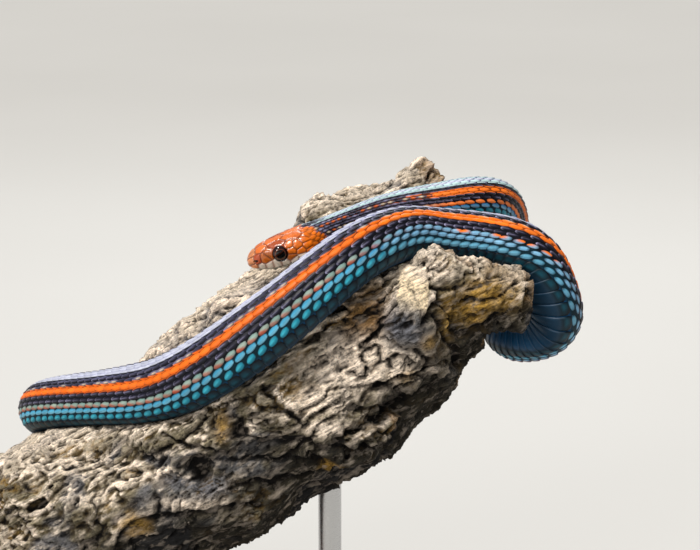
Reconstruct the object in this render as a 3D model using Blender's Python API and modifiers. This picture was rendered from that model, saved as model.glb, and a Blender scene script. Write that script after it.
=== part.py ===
"""A life-size garter snake draped over the broken end of a branch, on a plain display stand.

Metres, +Z up. The origin is the centre of the stand base's underside, +X runs along the base
towards the branch's broken end, and +Y points away from the side the snake is seen from.
Sizes below are in millimetres; MM turns them into metres.
"""

import math

import bmesh
import bpy
import numpy as np
from mathutils import Matrix, Vector, noise

MM = 0.001
GAP = 0.3                    # left between touching pieces

# Snake, by length along its back from the tip of the snout
TOTAL_LENGTH = 790.0
VENT_AT = 600.0
HEAD_END = 23.0
EYE_AT = 11.4
EYE_HALVES = (2.5, 1.55, 2.65)   # half length, half depth and half height of the eye
EYE_SIDE = 4.7               # eye centre to the head's middle plane
EYE_RISE = 1.15              # eye centre above the head's axis
MOUTH_DROP = 1.9             # mouth line below the head's axis at the snout
MOUTH_DIP = 1.5              # how far it sinks midway
MOUTH_FALL = 0.4             # its corner below its start
MOUTH_END = 20.0             # corner of the mouth
MOUTH_STEPS = 8              # straight stretches of the cut between the jaws
JAW_BLOCK_AHEAD = 6.0        # how far the cutter reaches ahead of the snout
JAW_BLOCK_REACH = 14.0       # and to each side and below
JAW_BLOCK_LEAN = 1.2         # how far its back face leans
BELLY_SHARE = 0.45           # part of the body's height that lies below its axis
BLEND_FROM = 21.0            # the head's form passes into the body's from here
BLEND_OVER = 8.0
CURVE_STEPS = 12             # steps of a curve between two of its points
CURVE_SOFTENING = 24         # rounds of averaging along it
TABLE_STEP = 0.5             # a table of sizes is read on steps of this length
TABLE_SOFTENING = 8

# Branch and stand
BRANCH_GROOVE = 0.4          # clear room between the snake and the bark it lies on
BRANCH_TRIANGLES = 1460      # before the grooves are cut
BRANCH_GRAIN = 3.4           # spacing of the even mesh that joins stem and swellings
BRANCH_CALM = 4              # rounds of smoothing after that
BRANCH_SLOPE_REACH = 6.0     # its slope is taken over this far each way
BARK_SWING = 3.2             # how far the bark's unevenness goes in and out
BARK_WAVE = 17.0             # and how far apart its rises lie
BARK_GRAIN = (0.45, 1.0, 1.0)    # the rises are drawn out along the branch
BARK_FRACTAL = (0.7, 2.0, 3)     # fall of the finer waves, step between them, their number
BED_STRETCHES = [(26.0, 94.0), (250.0, 446.0)]
BED_STEP = 13.0
BED_RADIUS = 8.0
BED_SINK = 0.45              # centre of a swelling below the belly, as a share of its radius
BED_INWARD = 0.4             # and towards the branch's axis
BASE_LENGTH = 200.0
BASE_DEPTH = 124.0
BASE_THICK = 14.0
BASE_CORNER = 14.0
BASE_EDGE = 2.5
BASE_CORNER_STEPS = 6
BASE_EDGE_STEPS = 3
ROD_RADIUS = 4.0
ROD_FOOT_RADIUS = 9.0
ROD_FOOT_THICK = 3.0
ROD_CHAMFER = 0.6
ROD_IN_BASE = 8.0
ROD_SEAT_CLEAR = 4.0         # how far the hole's cutter stands out of the base
ROD_IN_BRANCH = 12.0
ROD_PLACES = {"stand_rod_low": (-72.0, 0.0), "stand_rod_high": (46.0, 0.0)}

# Where the snake's axis runs over the branch: name, point, and which way its back faces.
DRAPE = [
    ("snout", (19.1, -12.0, 191.8), (-0.3, -0.16, 1.0)),
    ("eyes", (29.9, -11.2, 195.2), (-0.3, -0.16, 1.0)),
    ("nape", (40.4, -8.0, 199.0), (-0.3, -0.1, 1.0)),
    ("neck", (50.7, -1.0, 201.3), (-0.1, 0.05, 1.0)),
    ("rear_1", (66.1, 7.0, 204.9), (-0.1, -0.11, 1.0)),
    ("rear_2", (83.5, 12.0, 206.2), (0.0, -0.16, 1.0)),
    ("rear_3", (98.0, 16.0, 207.0), (0.15, -0.14, 1.0)),
    ("rear_turn", (106.2, 28.0, 201.5), (0.75, 0.04, 0.68)),
    ("back_1", (108.8, 40.0, 188.4), (0.95, 0.25, 0.1)),
    ("back_2", (109.0, 43.0, 172.0), (0.95, 0.3, 0.0)),
    ("back_3", (107.0, 35.0, 160.0), (0.9, 0.3, -0.4)),
    ("under", (110.0, 19.0, 157.0), (0.8, 0.1, -0.6)),
    ("low_right", (118.1, 3.1, 162.9), (1.0, 0.38, -0.23)),
    ("right_1", (121.8, -7.0, 171.2), (1.0, 0.94, 0.51)),
    ("right_2", (120.2, -10.1, 179.5), (0.9, 1.0, 0.39)),
    ("right_3", (115.7, -10.2, 189.9), (1.0, 0.61, 0.74)),
    ("top_1", (107.4, -9.2, 196.3), (0.44, 0.16, 1.0)),
    ("top_2", (95.6, -8.5, 198.3), (0.19, 0.22, 1.0)),
    ("crest", (82.4, -11.7, 200.1), (0.1, 0.24, 1.0)),
    ("crest_left", (71.4, -17.6, 202.1), (-0.18, 0.21, 1.0)),
    ("front_1", (60.6, -26.2, 200.9), (-0.4, -0.01, 1.0)),
    ("front_2", (49.4, -33.1, 195.1), (-0.68, -0.12, 1.0)),
    ("front_3", (31.1, -39.0, 180.4), (-0.8, -0.04, 1.0)),
    ("front_4", (12.0, -38.0, 165.8), (-0.78, -0.12, 1.0)),
    ("left_1", (-5.8, -28.0, 153.4), (-0.64, -0.16, 1.0)),
    ("left_2", (-25.6, -14.0, 145.5), (-0.43, -0.04, 1.0)),
]

# The rest of the snake winds round the low end of the branch.
WIND_FROM = 452.0            # length along the back where the winding starts
WIND_START_X = -35.0
WIND_END_X = -97.0
WIND_START_ANGLE = 70.0      # 90 is the top of the branch, 0 its far side
WIND_SWEEP = 520.0
WIND_STEP = 24.0

# Length along the back, full width and full height of the body and tail
BODY_SIZES = [
    (0.0, 6.0, 5.0),
    (23.0, 12.6, 9.6),
    (29.0, 10.6, 9.4),
    (40.0, 10.4, 9.8),
    (55.0, 11.6, 11.0),
    (80.0, 15.0, 13.8),
    (105.0, 15.4, 14.2),
    (150.0, 17.2, 15.8),
    (190.0, 18.8, 17.6),
    (215.0, 18.4, 17.2),
    (262.0, 19.4, 17.8),
    (285.0, 20.2, 18.4),
    (335.0, 22.4, 21.0),
    (365.0, 22.2, 20.6),
    (405.0, 20.0, 17.6),
    (470.0, 19.6, 16.8),
    (560.0, 16.0, 13.8),
    (600.0, 12.6, 11.2),
    (640.0, 10.4, 9.4),
    (700.0, 6.6, 6.0),
    (760.0, 3.0, 2.8),
    (790.0, 1.0, 1.0),
]

# Length from the snout, half width, height above and below the axis, squareness of crown and jaw
HEAD_SIZES = [
    (0.0, 1.8, 1.1, 1.5, 0.75, 0.9),
    (0.6, 2.8, 2.0, 2.3, 0.72, 0.88),
    (2.0, 3.6, 2.9, 3.0, 0.68, 0.85),
    (4.5, 4.4, 4.1, 3.9, 0.66, 0.82),
    (8.0, 5.1, 4.8, 4.8, 0.66, 0.80),
    (11.4, 5.9, 5.1, 5.5, 0.70, 0.78),
    (15.0, 6.9, 5.3, 5.8, 0.78, 0.76),
    (18.5, 7.6, 5.3, 5.8, 0.86, 0.76),
    (21.5, 7.3, 5.3, 5.5, 0.94, 0.78),
    (25.0, 6.2, 5.2, 5.0, 1.0, 0.80),
    (30.0, 5.4, 5.2, 4.4, 1.0, 0.80),
]
BODY_CROWN = 1.0
BODY_JAW = 0.80

# Fineness of the solids
HEAD_SIDES = 24
BODY_SIDES = 16
TAIL_SIDES = 10
TURNED_SIDES = 14
RING_SPACING = {"head": 1.35, "bent": 5.8, "loose": 7.4, "groove": 6.0}
LOOSE_FROM = 300.0           # from here on the body bends less
GROOVE_SIDES = 14
EYE_SIDES = (12, 8)
BRANCH_SIDES = 20
LOBE_SIDES = (16, 10)
SNAKE_SHARP = 50.0           # edges that bend more than this, in degrees, stay sharp
STAND_SHARP = 35.0

# Lengths along the back where the snake is parted into nodes
NODE_ENDS = [
    ("neck", 46.0),
    ("trunk_1", 92.0),
    ("trunk_2", 124.0),
    ("trunk_3", 158.0),
    ("trunk_4", 192.0),
    ("trunk_5", 232.0),
    ("trunk_6", 290.0),
    ("trunk_7", 350.0),
    ("trunk_8", 410.0),
    ("trunk_9", 460.0),
    ("trunk_10", 505.0),
    ("trunk_11", 552.0),
    ("trunk_12", VENT_AT),
    ("tail_1", 645.0),
    ("tail_2", 705.0),
    ("tail_tip", TOTAL_LENGTH),
]

# Branch, by stations along its axis: point, half height and half depth across the axis
BRANCH_AXIS = [
    ((-118.0, 2.0, 59.0), 25.0, 28.0),
    ((-92.0, 2.0, 69.0), 29.0, 32.0),
    ((-62.0, 2.0, 84.0), 32.0, 35.0),
    ((-32.0, 0.0, 101.0), 33.0, 37.0),
    ((-8.0, -2.0, 115.0), 32.0, 38.0),
    ((12.0, -2.0, 131.0), 36.0, 41.0),
    ((32.0, 0.0, 147.0), 38.0, 44.0),
    ((54.0, 3.0, 159.0), 37.0, 43.0),
    ((74.0, 5.0, 168.0), 29.0, 39.0),
    ((88.0, 7.0, 176.0), 21.0, 33.0),
    ((97.0, 8.0, 181.0), 14.0, 24.0),
    ((103.0, 8.0, 184.0), 7.0, 12.0),
]

# Burrs, ledges and the ridge of the branch: name, centre and half sizes of each swelling
BRANCH_LOBES = [
    ("knob", (104.0, -22.0, 182.0), (10.0, 10.0, 10.5)),
    ("knob_root", (93.0, -16.0, 180.0), (14.0, 15.0, 11.0)),
    ("lip", (80.0, -27.5, 192.4), (10.5, 6.0, 12.0)),
    ("lip_right", (93.0, -25.5, 188.0), (9.5, 6.0, 10.0)),
    ("broken_patch", (72.0, -33.0, 178.0), (9.0, 7.0, 11.0)),
    ("ridge_low", (35.0, 17.0, 183.0), (11.0, 11.0, 13.0)),
    ("ridge_mid", (44.0, 23.0, 192.0), (12.0, 12.0, 14.0)),
    ("ridge_high", (62.0, 29.0, 197.0), (14.0, 12.0, 13.0)),
    ("ridge_top", (77.0, 33.0, 201.0), (9.0, 10.0, 14.5)),
    ("ridge_end", (89.0, 33.0, 194.0), (9.0, 10.0, 12.0)),
    ("snout_rest", (15.0, -8.0, 172.0), (12.0, 13.0, 11.0)),
    ("low_chunk", (-53.0, -14.0, 109.0), (15.0, 18.0, 18.0)),
    ("front_ledge", (40.0, -36.0, 140.0), (30.0, 9.0, 10.0)),
    ("lower_ledge", (2.0, -32.0, 112.0), (26.0, 9.0, 10.0)),
]

# Look of each kind of piece: colour, roughness, metallic
LOOKS = {
    "head": ((0.50, 0.13, 0.03), 0.35, 0.0),
    "lower_jaw": ((0.60, 0.50, 0.38), 0.4, 0.0),
    "neck": ((0.04, 0.04, 0.06), 0.4, 0.0),
    "trunk": ((0.05, 0.16, 0.22), 0.4, 0.0),
    "tail": ((0.04, 0.12, 0.16), 0.4, 0.0),
    "eye": ((0.01, 0.01, 0.01), 0.05, 0.0),
    "branch": ((0.24, 0.18, 0.13), 0.9, 0.0),
    "stand_base": ((0.20, 0.11, 0.06), 0.45, 0.0),
    "stand_rod": ((0.60, 0.60, 0.60), 0.3, 1.0),
}


def clear_scene():
    """Starts from an empty scene."""
    for thing in list(bpy.data.objects):
        bpy.data.objects.remove(thing, do_unlink=True)


def collection(name):
    group = bpy.data.collections.new(name)
    bpy.context.scene.collection.children.link(group)
    return group


def material(kind):
    """One Principled BSDF material for each kind of piece."""
    if kind in bpy.data.materials:
        return bpy.data.materials[kind]
    colour, roughness, metallic = LOOKS[kind]
    made = bpy.data.materials.new(kind)
    made.use_nodes = True
    shader = made.node_tree.nodes["Principled BSDF"]
    shader.inputs["Base Color"].default_value = (*colour, 1.0)
    shader.inputs["Roughness"].default_value = roughness
    shader.inputs["Metallic"].default_value = metallic
    return made


def add_object(name, mesh, group, kind=None):
    """Puts a mesh in the scene under a collection, with its kind's material."""
    thing = bpy.data.objects.new(name, mesh)
    group.objects.link(thing)
    if kind:
        mesh.materials.append(material(kind))
    return thing


def as_cutter(thing):
    thing.hide_render = True
    thing.display_type = "WIRE"
    return thing


def boolean(thing, tool, operation="DIFFERENCE"):
    change = thing.modifiers.new(tool.name, "BOOLEAN")
    change.operation = operation
    change.object = tool
    change.solver = "EXACT"


def applied(thing):
    """The object's mesh with its modifiers worked in."""
    bpy.context.view_layer.update()
    seen = thing.evaluated_get(bpy.context.evaluated_depsgraph_get())
    mesh = bpy.data.meshes.new_from_object(seen)
    thing.modifiers.clear()
    thing.data = mesh
    return thing


def shade_round(mesh, angle):
    mesh.shade_smooth()
    mesh.set_sharp_from_angle(angle=math.radians(angle))


# Curves through hand-chosen points

def smooth_curve(points, steps):
    """A curve through all the points (Catmull-Rom), with so many steps between each two."""
    points = np.asarray(points, float)
    first = 2 * points[0] - points[1]
    last = 2 * points[-1] - points[-2]
    padded = np.vstack([first, points, last])
    out = []
    for i in range(len(points) - 1):
        a, b, c, d = padded[i:i + 4]
        for k in range(steps):
            t = k / steps
            out.append(0.5 * (2 * b + (c - a) * t + (2 * a - 5 * b + 4 * c - d) * t * t
                              + (3 * b - a - 3 * c + d) * t ** 3))
    out.append(points[-1])
    return np.array(out)


def soften(rows, reach):
    """Rows averaged with their neighbours, ends kept."""
    rows = rows.copy()
    for _ in range(reach):
        rows[1:-1] = 0.25 * rows[:-2] + 0.5 * rows[1:-1] + 0.25 * rows[2:]
    return rows


def table_at(table, where):
    """Each column of a table, read smoothly at the given lengths."""
    table = np.asarray(table, float)
    where = np.atleast_1d(where)
    steps = int((table[-1, 0] - table[0, 0]) / TABLE_STEP)
    fine = np.linspace(table[0, 0], table[-1, 0], steps + 1)
    columns = [np.interp(fine, table[:, 0], table[:, c]) for c in range(1, table.shape[1])]
    columns = [soften(column, TABLE_SOFTENING) for column in columns]
    return np.array([np.interp(where, fine, column) for column in columns])


def unit(rows):
    return rows / np.linalg.norm(rows, axis=-1, keepdims=True)


# Branch axis, which the snake's tail winds round

def branch_frame(x):
    """Axis point, upward direction, half height and half depth of the branch at x."""
    xs = [station[0][0] for station in BRANCH_AXIS]
    ys = [station[0][1] for station in BRANCH_AXIS]
    zs = [station[0][2] for station in BRANCH_AXIS]
    highs = [station[1] for station in BRANCH_AXIS]
    deeps = [station[2] for station in BRANCH_AXIS]
    centre = np.array([x, np.interp(x, xs, ys), np.interp(x, xs, zs)])
    reach = BRANCH_SLOPE_REACH
    slope = np.interp(x + reach, xs, zs) - np.interp(x - reach, xs, zs)
    along = unit(np.array([2 * reach, 0.0, slope]))
    up = np.array([-along[2], 0.0, along[0]])
    return centre, up, np.interp(x, xs, highs), np.interp(x, xs, deeps)


def winding_points():
    """Route and back directions where the snake winds round the branch."""
    count = int(WIND_SWEEP / WIND_STEP)
    points = []
    backs = []
    for i in range(count + 1):
        share = i / count
        angle = math.radians(WIND_START_ANGLE - share * WIND_SWEEP)
        length = WIND_FROM + share * (TOTAL_LENGTH - WIND_FROM)
        height = float(table_at(BODY_SIZES, length)[1][0])
        away = BELLY_SHARE * height + BRANCH_GROOVE
        x = WIND_START_X + share * (WIND_END_X - WIND_START_X)
        centre, up, high, deep = branch_frame(x)
        side = np.array([0.0, 1.0, 0.0])
        points.append(centre + side * (deep + away) * math.cos(angle)
                      + up * (high + away) * math.sin(angle))
        backs.append(side * math.cos(angle) / deep + up * math.sin(angle) / high)
    return np.array(points), unit(np.array(backs))


class Route:
    """The snake's axis, read by length along the back."""

    def __init__(self):
        wind_points, wind_backs = winding_points()
        points = np.vstack([[p for _, p, _ in DRAPE], wind_points])
        backs = np.vstack([unit(np.array([b for _, _, b in DRAPE], float)), wind_backs])
        axis = soften(smooth_curve(points, CURVE_STEPS), CURVE_SOFTENING)
        back = soften(smooth_curve(backs, CURVE_STEPS), CURVE_SOFTENING)
        run = np.concatenate([[0.0], np.cumsum(np.linalg.norm(np.diff(axis, axis=0), axis=1))])
        self.full = run[-1]
        even = np.linspace(0.0, self.full, int(self.full))
        self.length = even * TOTAL_LENGTH / self.full
        self.axis = np.array([np.interp(even, run, axis[:, c]) for c in range(3)]).T
        along = unit(np.gradient(self.axis, axis=0))
        back = np.array([np.interp(even, run, back[:, c]) for c in range(3)]).T
        self.back = unit(back - along * np.sum(back * along, axis=1, keepdims=True))
        self.along = along

    def frame(self, length):
        """Point, direction towards the tail, back direction and left side at a length."""
        read = [np.array([np.interp(length, self.length, rows[:, c]) for c in range(3)])
                for rows in (self.axis, self.along, self.back)]
        point, along, back = read
        along = along / np.linalg.norm(along)
        back = back - along * np.dot(back, along)
        back = back / np.linalg.norm(back)
        return point, along, back, np.cross(back, along)


# Cross-sections of the snake

def section_sizes(length):
    """Half width, height above and below the axis, and squareness of the top and bottom."""
    width, height = (float(v[0]) for v in table_at(BODY_SIZES, length))
    body = (width / 2, height * (1 - BELLY_SHARE), height * BELLY_SHARE, BODY_CROWN, BODY_JAW)
    if length >= HEAD_SIZES[-1][0]:
        return body
    head = [float(v[0]) for v in table_at(HEAD_SIZES, length)]
    blend = min(max((length - BLEND_FROM) / BLEND_OVER, 0.0), 1.0)
    blend = blend * blend * (3 - 2 * blend)
    return tuple(h * (1 - blend) + b * blend for h, b in zip(head, body))


def section_point(sizes, angle, grow=0.0):
    """Side and height of the surface at an angle round the body, 0 at the back."""
    half, above, below, crown, jaw = sizes
    across = math.sin(angle)
    rise = math.cos(angle)
    if rise >= 0:
        side = math.copysign(abs(across) ** crown, across) * half
        height = above * rise ** crown
    else:
        side = math.copysign(abs(across) ** jaw, across) * half
        height = -below * (-rise) ** jaw
    reach = math.hypot(side, height)
    swell = 1 + grow / max(reach, 0.2)
    return side * swell, height * swell


def lofted(name, build, rings):
    """A closed mesh through rings of points, each with as many points as the next."""
    segments = len(rings[0])
    for one, two in zip(rings, rings[1:]):
        for k in range(segments):
            n = (k + 1) % segments
            build.faces.new((one[k], two[k], two[n], one[n]))
    build.faces.new(rings[0])
    build.faces.new(reversed(rings[-1]))
    bmesh.ops.recalc_face_normals(build, faces=build.faces)
    mesh = bpy.data.meshes.new(name)
    build.to_mesh(mesh)
    build.free()
    return mesh


def snake_length(name, route, start, end, group, kind, spacing, segments, grow=0.0):
    """A closed stretch of the snake between two lengths along its back."""
    count = max(2, round((end - start) / spacing))
    build = bmesh.new()
    rings = []
    for i in range(count + 1):
        length = start + (end - start) * i / count
        point, _, back, side = route.frame(length)
        sizes = section_sizes(length)
        ring = []
        for k in range(segments):
            across, rise = section_point(sizes, 2 * math.pi * k / segments, grow)
            place = point + side * across + back * rise
            ring.append(build.verts.new(Vector(place) * MM))
        rings.append(ring)
    mesh = lofted(name, build, rings)
    shade_round(mesh, SNAKE_SHARP)
    return add_object(name, mesh, group, kind)


def head_matrix(route):
    """Head's own axes: x towards the tail, y to the side, z to the crown; origin at the snout."""
    snout = route.frame(0.0)[0]
    along = route.frame(EYE_AT)[0] - snout
    along = along / np.linalg.norm(along)
    back = route.frame(EYE_AT)[2]
    back = back - along * np.dot(back, along)
    back = back / np.linalg.norm(back)
    side = np.cross(back, along)
    turn = Matrix((along, side, back)).transposed().to_4x4()
    return Matrix.Translation(Vector(snout) * MM) @ turn


def mouth_height(length):
    """Mouth line in the head's own axes: it dips under the eye and rises to its corner."""
    share = length / MOUTH_END
    return -MOUTH_DROP - MOUTH_DIP * math.sin(math.pi * share) - MOUTH_FALL * share


def jaw_block(name, drop, group):
    """Everything below the mouth line and ahead of the corner of the mouth, as a cutter."""
    back_end = MOUTH_END - drop
    outline = [(-JAW_BLOCK_AHEAD, mouth_height(0.0) - drop)]
    for i in range(MOUTH_STEPS + 1):
        length = back_end * i / MOUTH_STEPS
        outline.append((length, mouth_height(length) - drop))
    outline.append((back_end + JAW_BLOCK_LEAN, -JAW_BLOCK_REACH))
    outline.append((-JAW_BLOCK_AHEAD, -JAW_BLOCK_REACH))
    half = JAW_BLOCK_REACH
    build = bmesh.new()
    near = [build.verts.new((x * MM, -half * MM, z * MM)) for x, z in outline]
    far = [build.verts.new((x * MM, half * MM, z * MM)) for x, z in outline]
    build.faces.new(near)
    build.faces.new(reversed(far))
    for i in range(len(outline)):
        n = (i + 1) % len(outline)
        build.faces.new((near[i], far[i], far[n], near[n]))
    bmesh.ops.recalc_face_normals(build, faces=build.faces)
    mesh = bpy.data.meshes.new(name)
    build.to_mesh(mesh)
    build.free()
    return as_cutter(add_object(name, mesh, group))


def rounded(name, grow, group, kind=None):
    """The eye's flattened ball, a little larger where it is a socket."""
    build = bmesh.new()
    around, down = EYE_SIDES
    bmesh.ops.create_uvsphere(build, u_segments=around, v_segments=down, radius=1.0)
    halves = Vector([half + grow for half in EYE_HALVES]) * MM
    bmesh.ops.scale(build, vec=halves, verts=build.verts)
    mesh = bpy.data.meshes.new(name)
    build.to_mesh(mesh)
    build.free()
    mesh.shade_smooth()
    return add_object(name, mesh, group, kind)


def make_head(route, parts, cutters):
    """Head, lower jaw and two eyes."""
    axes = head_matrix(route)
    head = snake_length("head", route, 0.0, HEAD_END - GAP / 2, parts, "head",
                        RING_SPACING["head"], HEAD_SIDES)
    jaw = snake_length("lower_jaw", route, 0.0, HEAD_END - GAP / 2, parts, "lower_jaw",
                       RING_SPACING["head"], HEAD_SIDES)
    above = jaw_block("below_mouth", 0.0, cutters)
    below = jaw_block("jaw_room", GAP, cutters)
    for block in (above, below):
        block.matrix_world = axes
    boolean(head, above)
    boolean(jaw, below, "INTERSECT")
    for name, hand in (("eye_left", -1), ("eye_right", 1)):
        seat = axes @ Matrix.Translation(Vector((EYE_AT, hand * EYE_SIDE, EYE_RISE)) * MM)
        socket = as_cutter(rounded(f"{name}_socket", GAP, cutters))
        socket.matrix_world = seat
        boolean(head, socket)
        eye = rounded(name, 0.0, parts, "eye")
        eye.matrix_world = seat


def make_body(route, parts):
    """Neck, trunk and tail, parted by thin cuts."""
    start = HEAD_END
    for name, end in NODE_ENDS:
        kind = name.split("_")[0]
        spacing = RING_SPACING["bent"] if end < LOOSE_FROM else RING_SPACING["loose"]
        cut = 0.0 if end == TOTAL_LENGTH else GAP / 2
        sides = BODY_SIDES if end <= VENT_AT else TAIL_SIDES
        snake_length(name, route, start + GAP / 2, end - cut, parts, kind, spacing, sides)
        start = end


# Branch

def branch_core(group):
    """The branch's stem: rings across its axis, from the sawn end to the broken one."""
    segments = BRANCH_SIDES
    build = bmesh.new()
    rings = []
    for (x, _, _), _, _ in BRANCH_AXIS:
        centre, up, high, deep = branch_frame(x)
        ring = []
        for k in range(segments):
            angle = 2 * math.pi * k / segments
            place = centre + np.array([0.0, 1.0, 0.0]) * deep * math.cos(angle)
            place = place + up * high * math.sin(angle)
            ring.append(build.verts.new(Vector(place) * MM))
        rings.append(ring)
    return add_object("branch", lofted("branch", build, rings), group, "branch")


def bed_lobes(route):
    """Centres and half sizes of the bark's swellings under the body that lies on it."""
    for start, end in BED_STRETCHES:
        for length in np.arange(start, end, BED_STEP):
            point, _, back, _ = route.frame(length)
            below = section_sizes(length)[2]
            centre, _, _, _ = branch_frame(point[0])
            inward = unit(centre - point)
            place = point - back * (below + BED_RADIUS * BED_SINK)
            place = place + inward * BED_RADIUS * BED_INWARD
            yield place, (BED_RADIUS,) * 3


def keep_biggest(mesh):
    """Drops loose chips that a cut leaves, and keeps the one main piece."""
    build = bmesh.new()
    build.from_mesh(mesh)
    build.verts.ensure_lookup_table()
    seen = set()
    pieces = []
    for start in build.verts:
        if start.index in seen:
            continue
        piece = []
        todo = [start]
        seen.add(start.index)
        while todo:
            point = todo.pop()
            piece.append(point)
            for edge in point.link_edges:
                other = edge.other_vert(point)
                if other.index not in seen:
                    seen.add(other.index)
                    todo.append(other)
        pieces.append(piece)
    pieces.sort(key=len, reverse=True)
    for piece in pieces[1:]:
        bmesh.ops.delete(build, geom=piece, context="VERTS")
    build.to_mesh(mesh)
    build.free()


def roughen(mesh):
    """Moves the bark in and out by a steady, repeatable unevenness, stretched along the grain."""
    for point in mesh.vertices:
        place = point.co * Vector(BARK_GRAIN) / (BARK_WAVE * MM)
        swing = noise.fractal(place, *BARK_FRACTAL)
        point.co = point.co + point.normal * BARK_SWING * MM * swing


def make_branch(route, parts, cutters):
    """The branch: stem and swellings made one, roughened, and grooved where the snake lies."""
    branch = branch_core(parts)
    whole = bmesh.new()
    whole.from_mesh(branch.data)
    for centre, halves in [*(lobe[1:] for lobe in BRANCH_LOBES), *bed_lobes(route)]:
        place = Matrix.LocRotScale(Vector(centre) * MM, None, Vector(halves) * MM)
        around, down = LOBE_SIDES
        bmesh.ops.create_uvsphere(whole, u_segments=around, v_segments=down, radius=1.0,
                                  matrix=place)
    whole.to_mesh(branch.data)
    whole.free()
    even = branch.modifiers.new("even", "REMESH")
    even.mode = "VOXEL"
    even.voxel_size = BRANCH_GRAIN * MM
    calm = branch.modifiers.new("calm", "SMOOTH")
    calm.factor = 0.5
    calm.iterations = BRANCH_CALM
    applied(branch)
    roughen(branch.data)
    lean = branch.modifiers.new("lean", "DECIMATE")
    lean.ratio = BRANCH_TRIANGLES / (2 * len(branch.data.polygons))
    applied(branch)
    groove = snake_length("groove", route, 0.0, TOTAL_LENGTH, cutters, None,
                          RING_SPACING["groove"], GROOVE_SIDES, BRANCH_GROOVE)
    boolean(branch, as_cutter(groove))
    for name, (x, y) in ROD_PLACES.items():
        boolean(branch, rod_hole(f"{name}_hole", x, y, rod_top(x) + GAP, cutters))
    applied(branch)
    keep_biggest(branch.data)
    shade_round(branch.data, STAND_SHARP)


# Stand

def rod_top(x):
    """Height of a rod's upper end, inside the branch."""
    centre, up, high, _ = branch_frame(x)
    return centre[2] - high / up[2] + ROD_IN_BRANCH


def turned(name, profile, group, kind=None):
    """A profile of (radius, height), top to bottom, turned about the vertical."""
    mesh = bpy.data.meshes.new(name)
    points = [(r * MM, 0.0, z * MM) for r, z in profile]
    mesh.from_pydata(points, [(i, i + 1) for i in range(len(points) - 1)], [])
    thing = add_object(name, mesh, group, kind)
    screw = thing.modifiers.new("turn", "SCREW")
    screw.axis = "Z"
    screw.steps = TURNED_SIDES
    screw.render_steps = TURNED_SIDES
    screw.use_merge_vertices = True
    screw.merge_threshold = 0.00001
    return thing


def rod_hole(name, x, y, top, group):
    """Blind hole up into the branch's underside."""
    radius = ROD_RADIUS + GAP
    hole = turned(name, [(0.0, top), (radius, top), (radius, BASE_THICK), (0.0, BASE_THICK)], group)
    hole.location = (x * MM, y * MM, 0.0)
    return as_cutter(hole)


def make_rods(parts):
    """Two steel rods, each with a round foot on the base and its end in the branch."""
    for name, (x, y) in ROD_PLACES.items():
        top = rod_top(x)
        foot = BASE_THICK + GAP
        profile = [
            (0.0, top),
            (ROD_RADIUS - ROD_CHAMFER, top),
            (ROD_RADIUS, top - ROD_CHAMFER),
            (ROD_RADIUS, foot + ROD_FOOT_THICK),
            (ROD_FOOT_RADIUS - ROD_CHAMFER, foot + ROD_FOOT_THICK),
            (ROD_FOOT_RADIUS, foot + ROD_FOOT_THICK - ROD_CHAMFER),
            (ROD_FOOT_RADIUS, foot),
            (ROD_RADIUS, foot),
            (ROD_RADIUS, BASE_THICK - ROD_IN_BASE),
            (0.0, BASE_THICK - ROD_IN_BASE),
        ]
        rod = turned(name, profile, parts, "stand_rod")
        rod.location = (x * MM, y * MM, 0.0)


def make_base(parts, cutters):
    """Wooden base with round corners and eased edges, bored for the rods."""
    build = bmesh.new()
    bmesh.ops.create_cube(build, size=1.0)
    bmesh.ops.scale(build, vec=Vector((BASE_LENGTH, BASE_DEPTH, BASE_THICK)) * MM, verts=build.verts)
    bmesh.ops.translate(build, vec=Vector((0, 0, BASE_THICK / 2)) * MM, verts=build.verts)
    corners = [edge for edge in build.edges
               if abs(edge.verts[0].co.z - edge.verts[1].co.z) > BASE_THICK * MM / 2]
    bmesh.ops.bevel(build, geom=corners, offset=BASE_CORNER * MM, segments=BASE_CORNER_STEPS,
                    profile=0.5, affect="EDGES")
    rim = [edge for edge in build.edges
           if all(point.co.z > (BASE_THICK - GAP) * MM for point in edge.verts)]
    bmesh.ops.bevel(build, geom=rim, offset=BASE_EDGE * MM, segments=BASE_EDGE_STEPS,
                    profile=0.5, affect="EDGES")
    mesh = bpy.data.meshes.new("stand_base")
    build.to_mesh(mesh)
    build.free()
    base = add_object("stand_base", mesh, parts, "stand_base")
    for name, (x, y) in ROD_PLACES.items():
        radius = ROD_RADIUS + GAP
        floor = BASE_THICK - ROD_IN_BASE - GAP
        mouth = BASE_THICK + ROD_SEAT_CLEAR
        profile = [(0.0, mouth), (radius, mouth), (radius, floor), (0.0, floor)]
        hole = turned(f"{name}_seat", profile, cutters)
        hole.location = (x * MM, y * MM, 0.0)
        boolean(base, as_cutter(hole))
    shade_round(mesh, STAND_SHARP)


def main():
    clear_scene()
    parts = collection("garter_snake")
    cutters = collection("cutters")
    route = Route()
    make_head(route, parts, cutters)
    make_body(route, parts)
    make_branch(route, parts, cutters)
    make_rods(parts)
    make_base(parts, cutters)
    bpy.context.view_layer.update()


main()
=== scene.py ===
"""The look of a life-size garter snake on its piece of branch and display stand.

The skin, its shields, scales and scutes all come from one route along the snake's back and one
table of its sizes, which are those of the solids they replace. Lengths are in millimetres until
a mesh is made; MM turns them into metres. A share is how far round the body a point lies: 0 is
the middle of the back, 1 or -1 the middle of the belly, and below 0 is the snake's left.
"""

import math

import bpy
import numpy as np
from mathutils import Matrix, Vector, kdtree, noise


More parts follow.
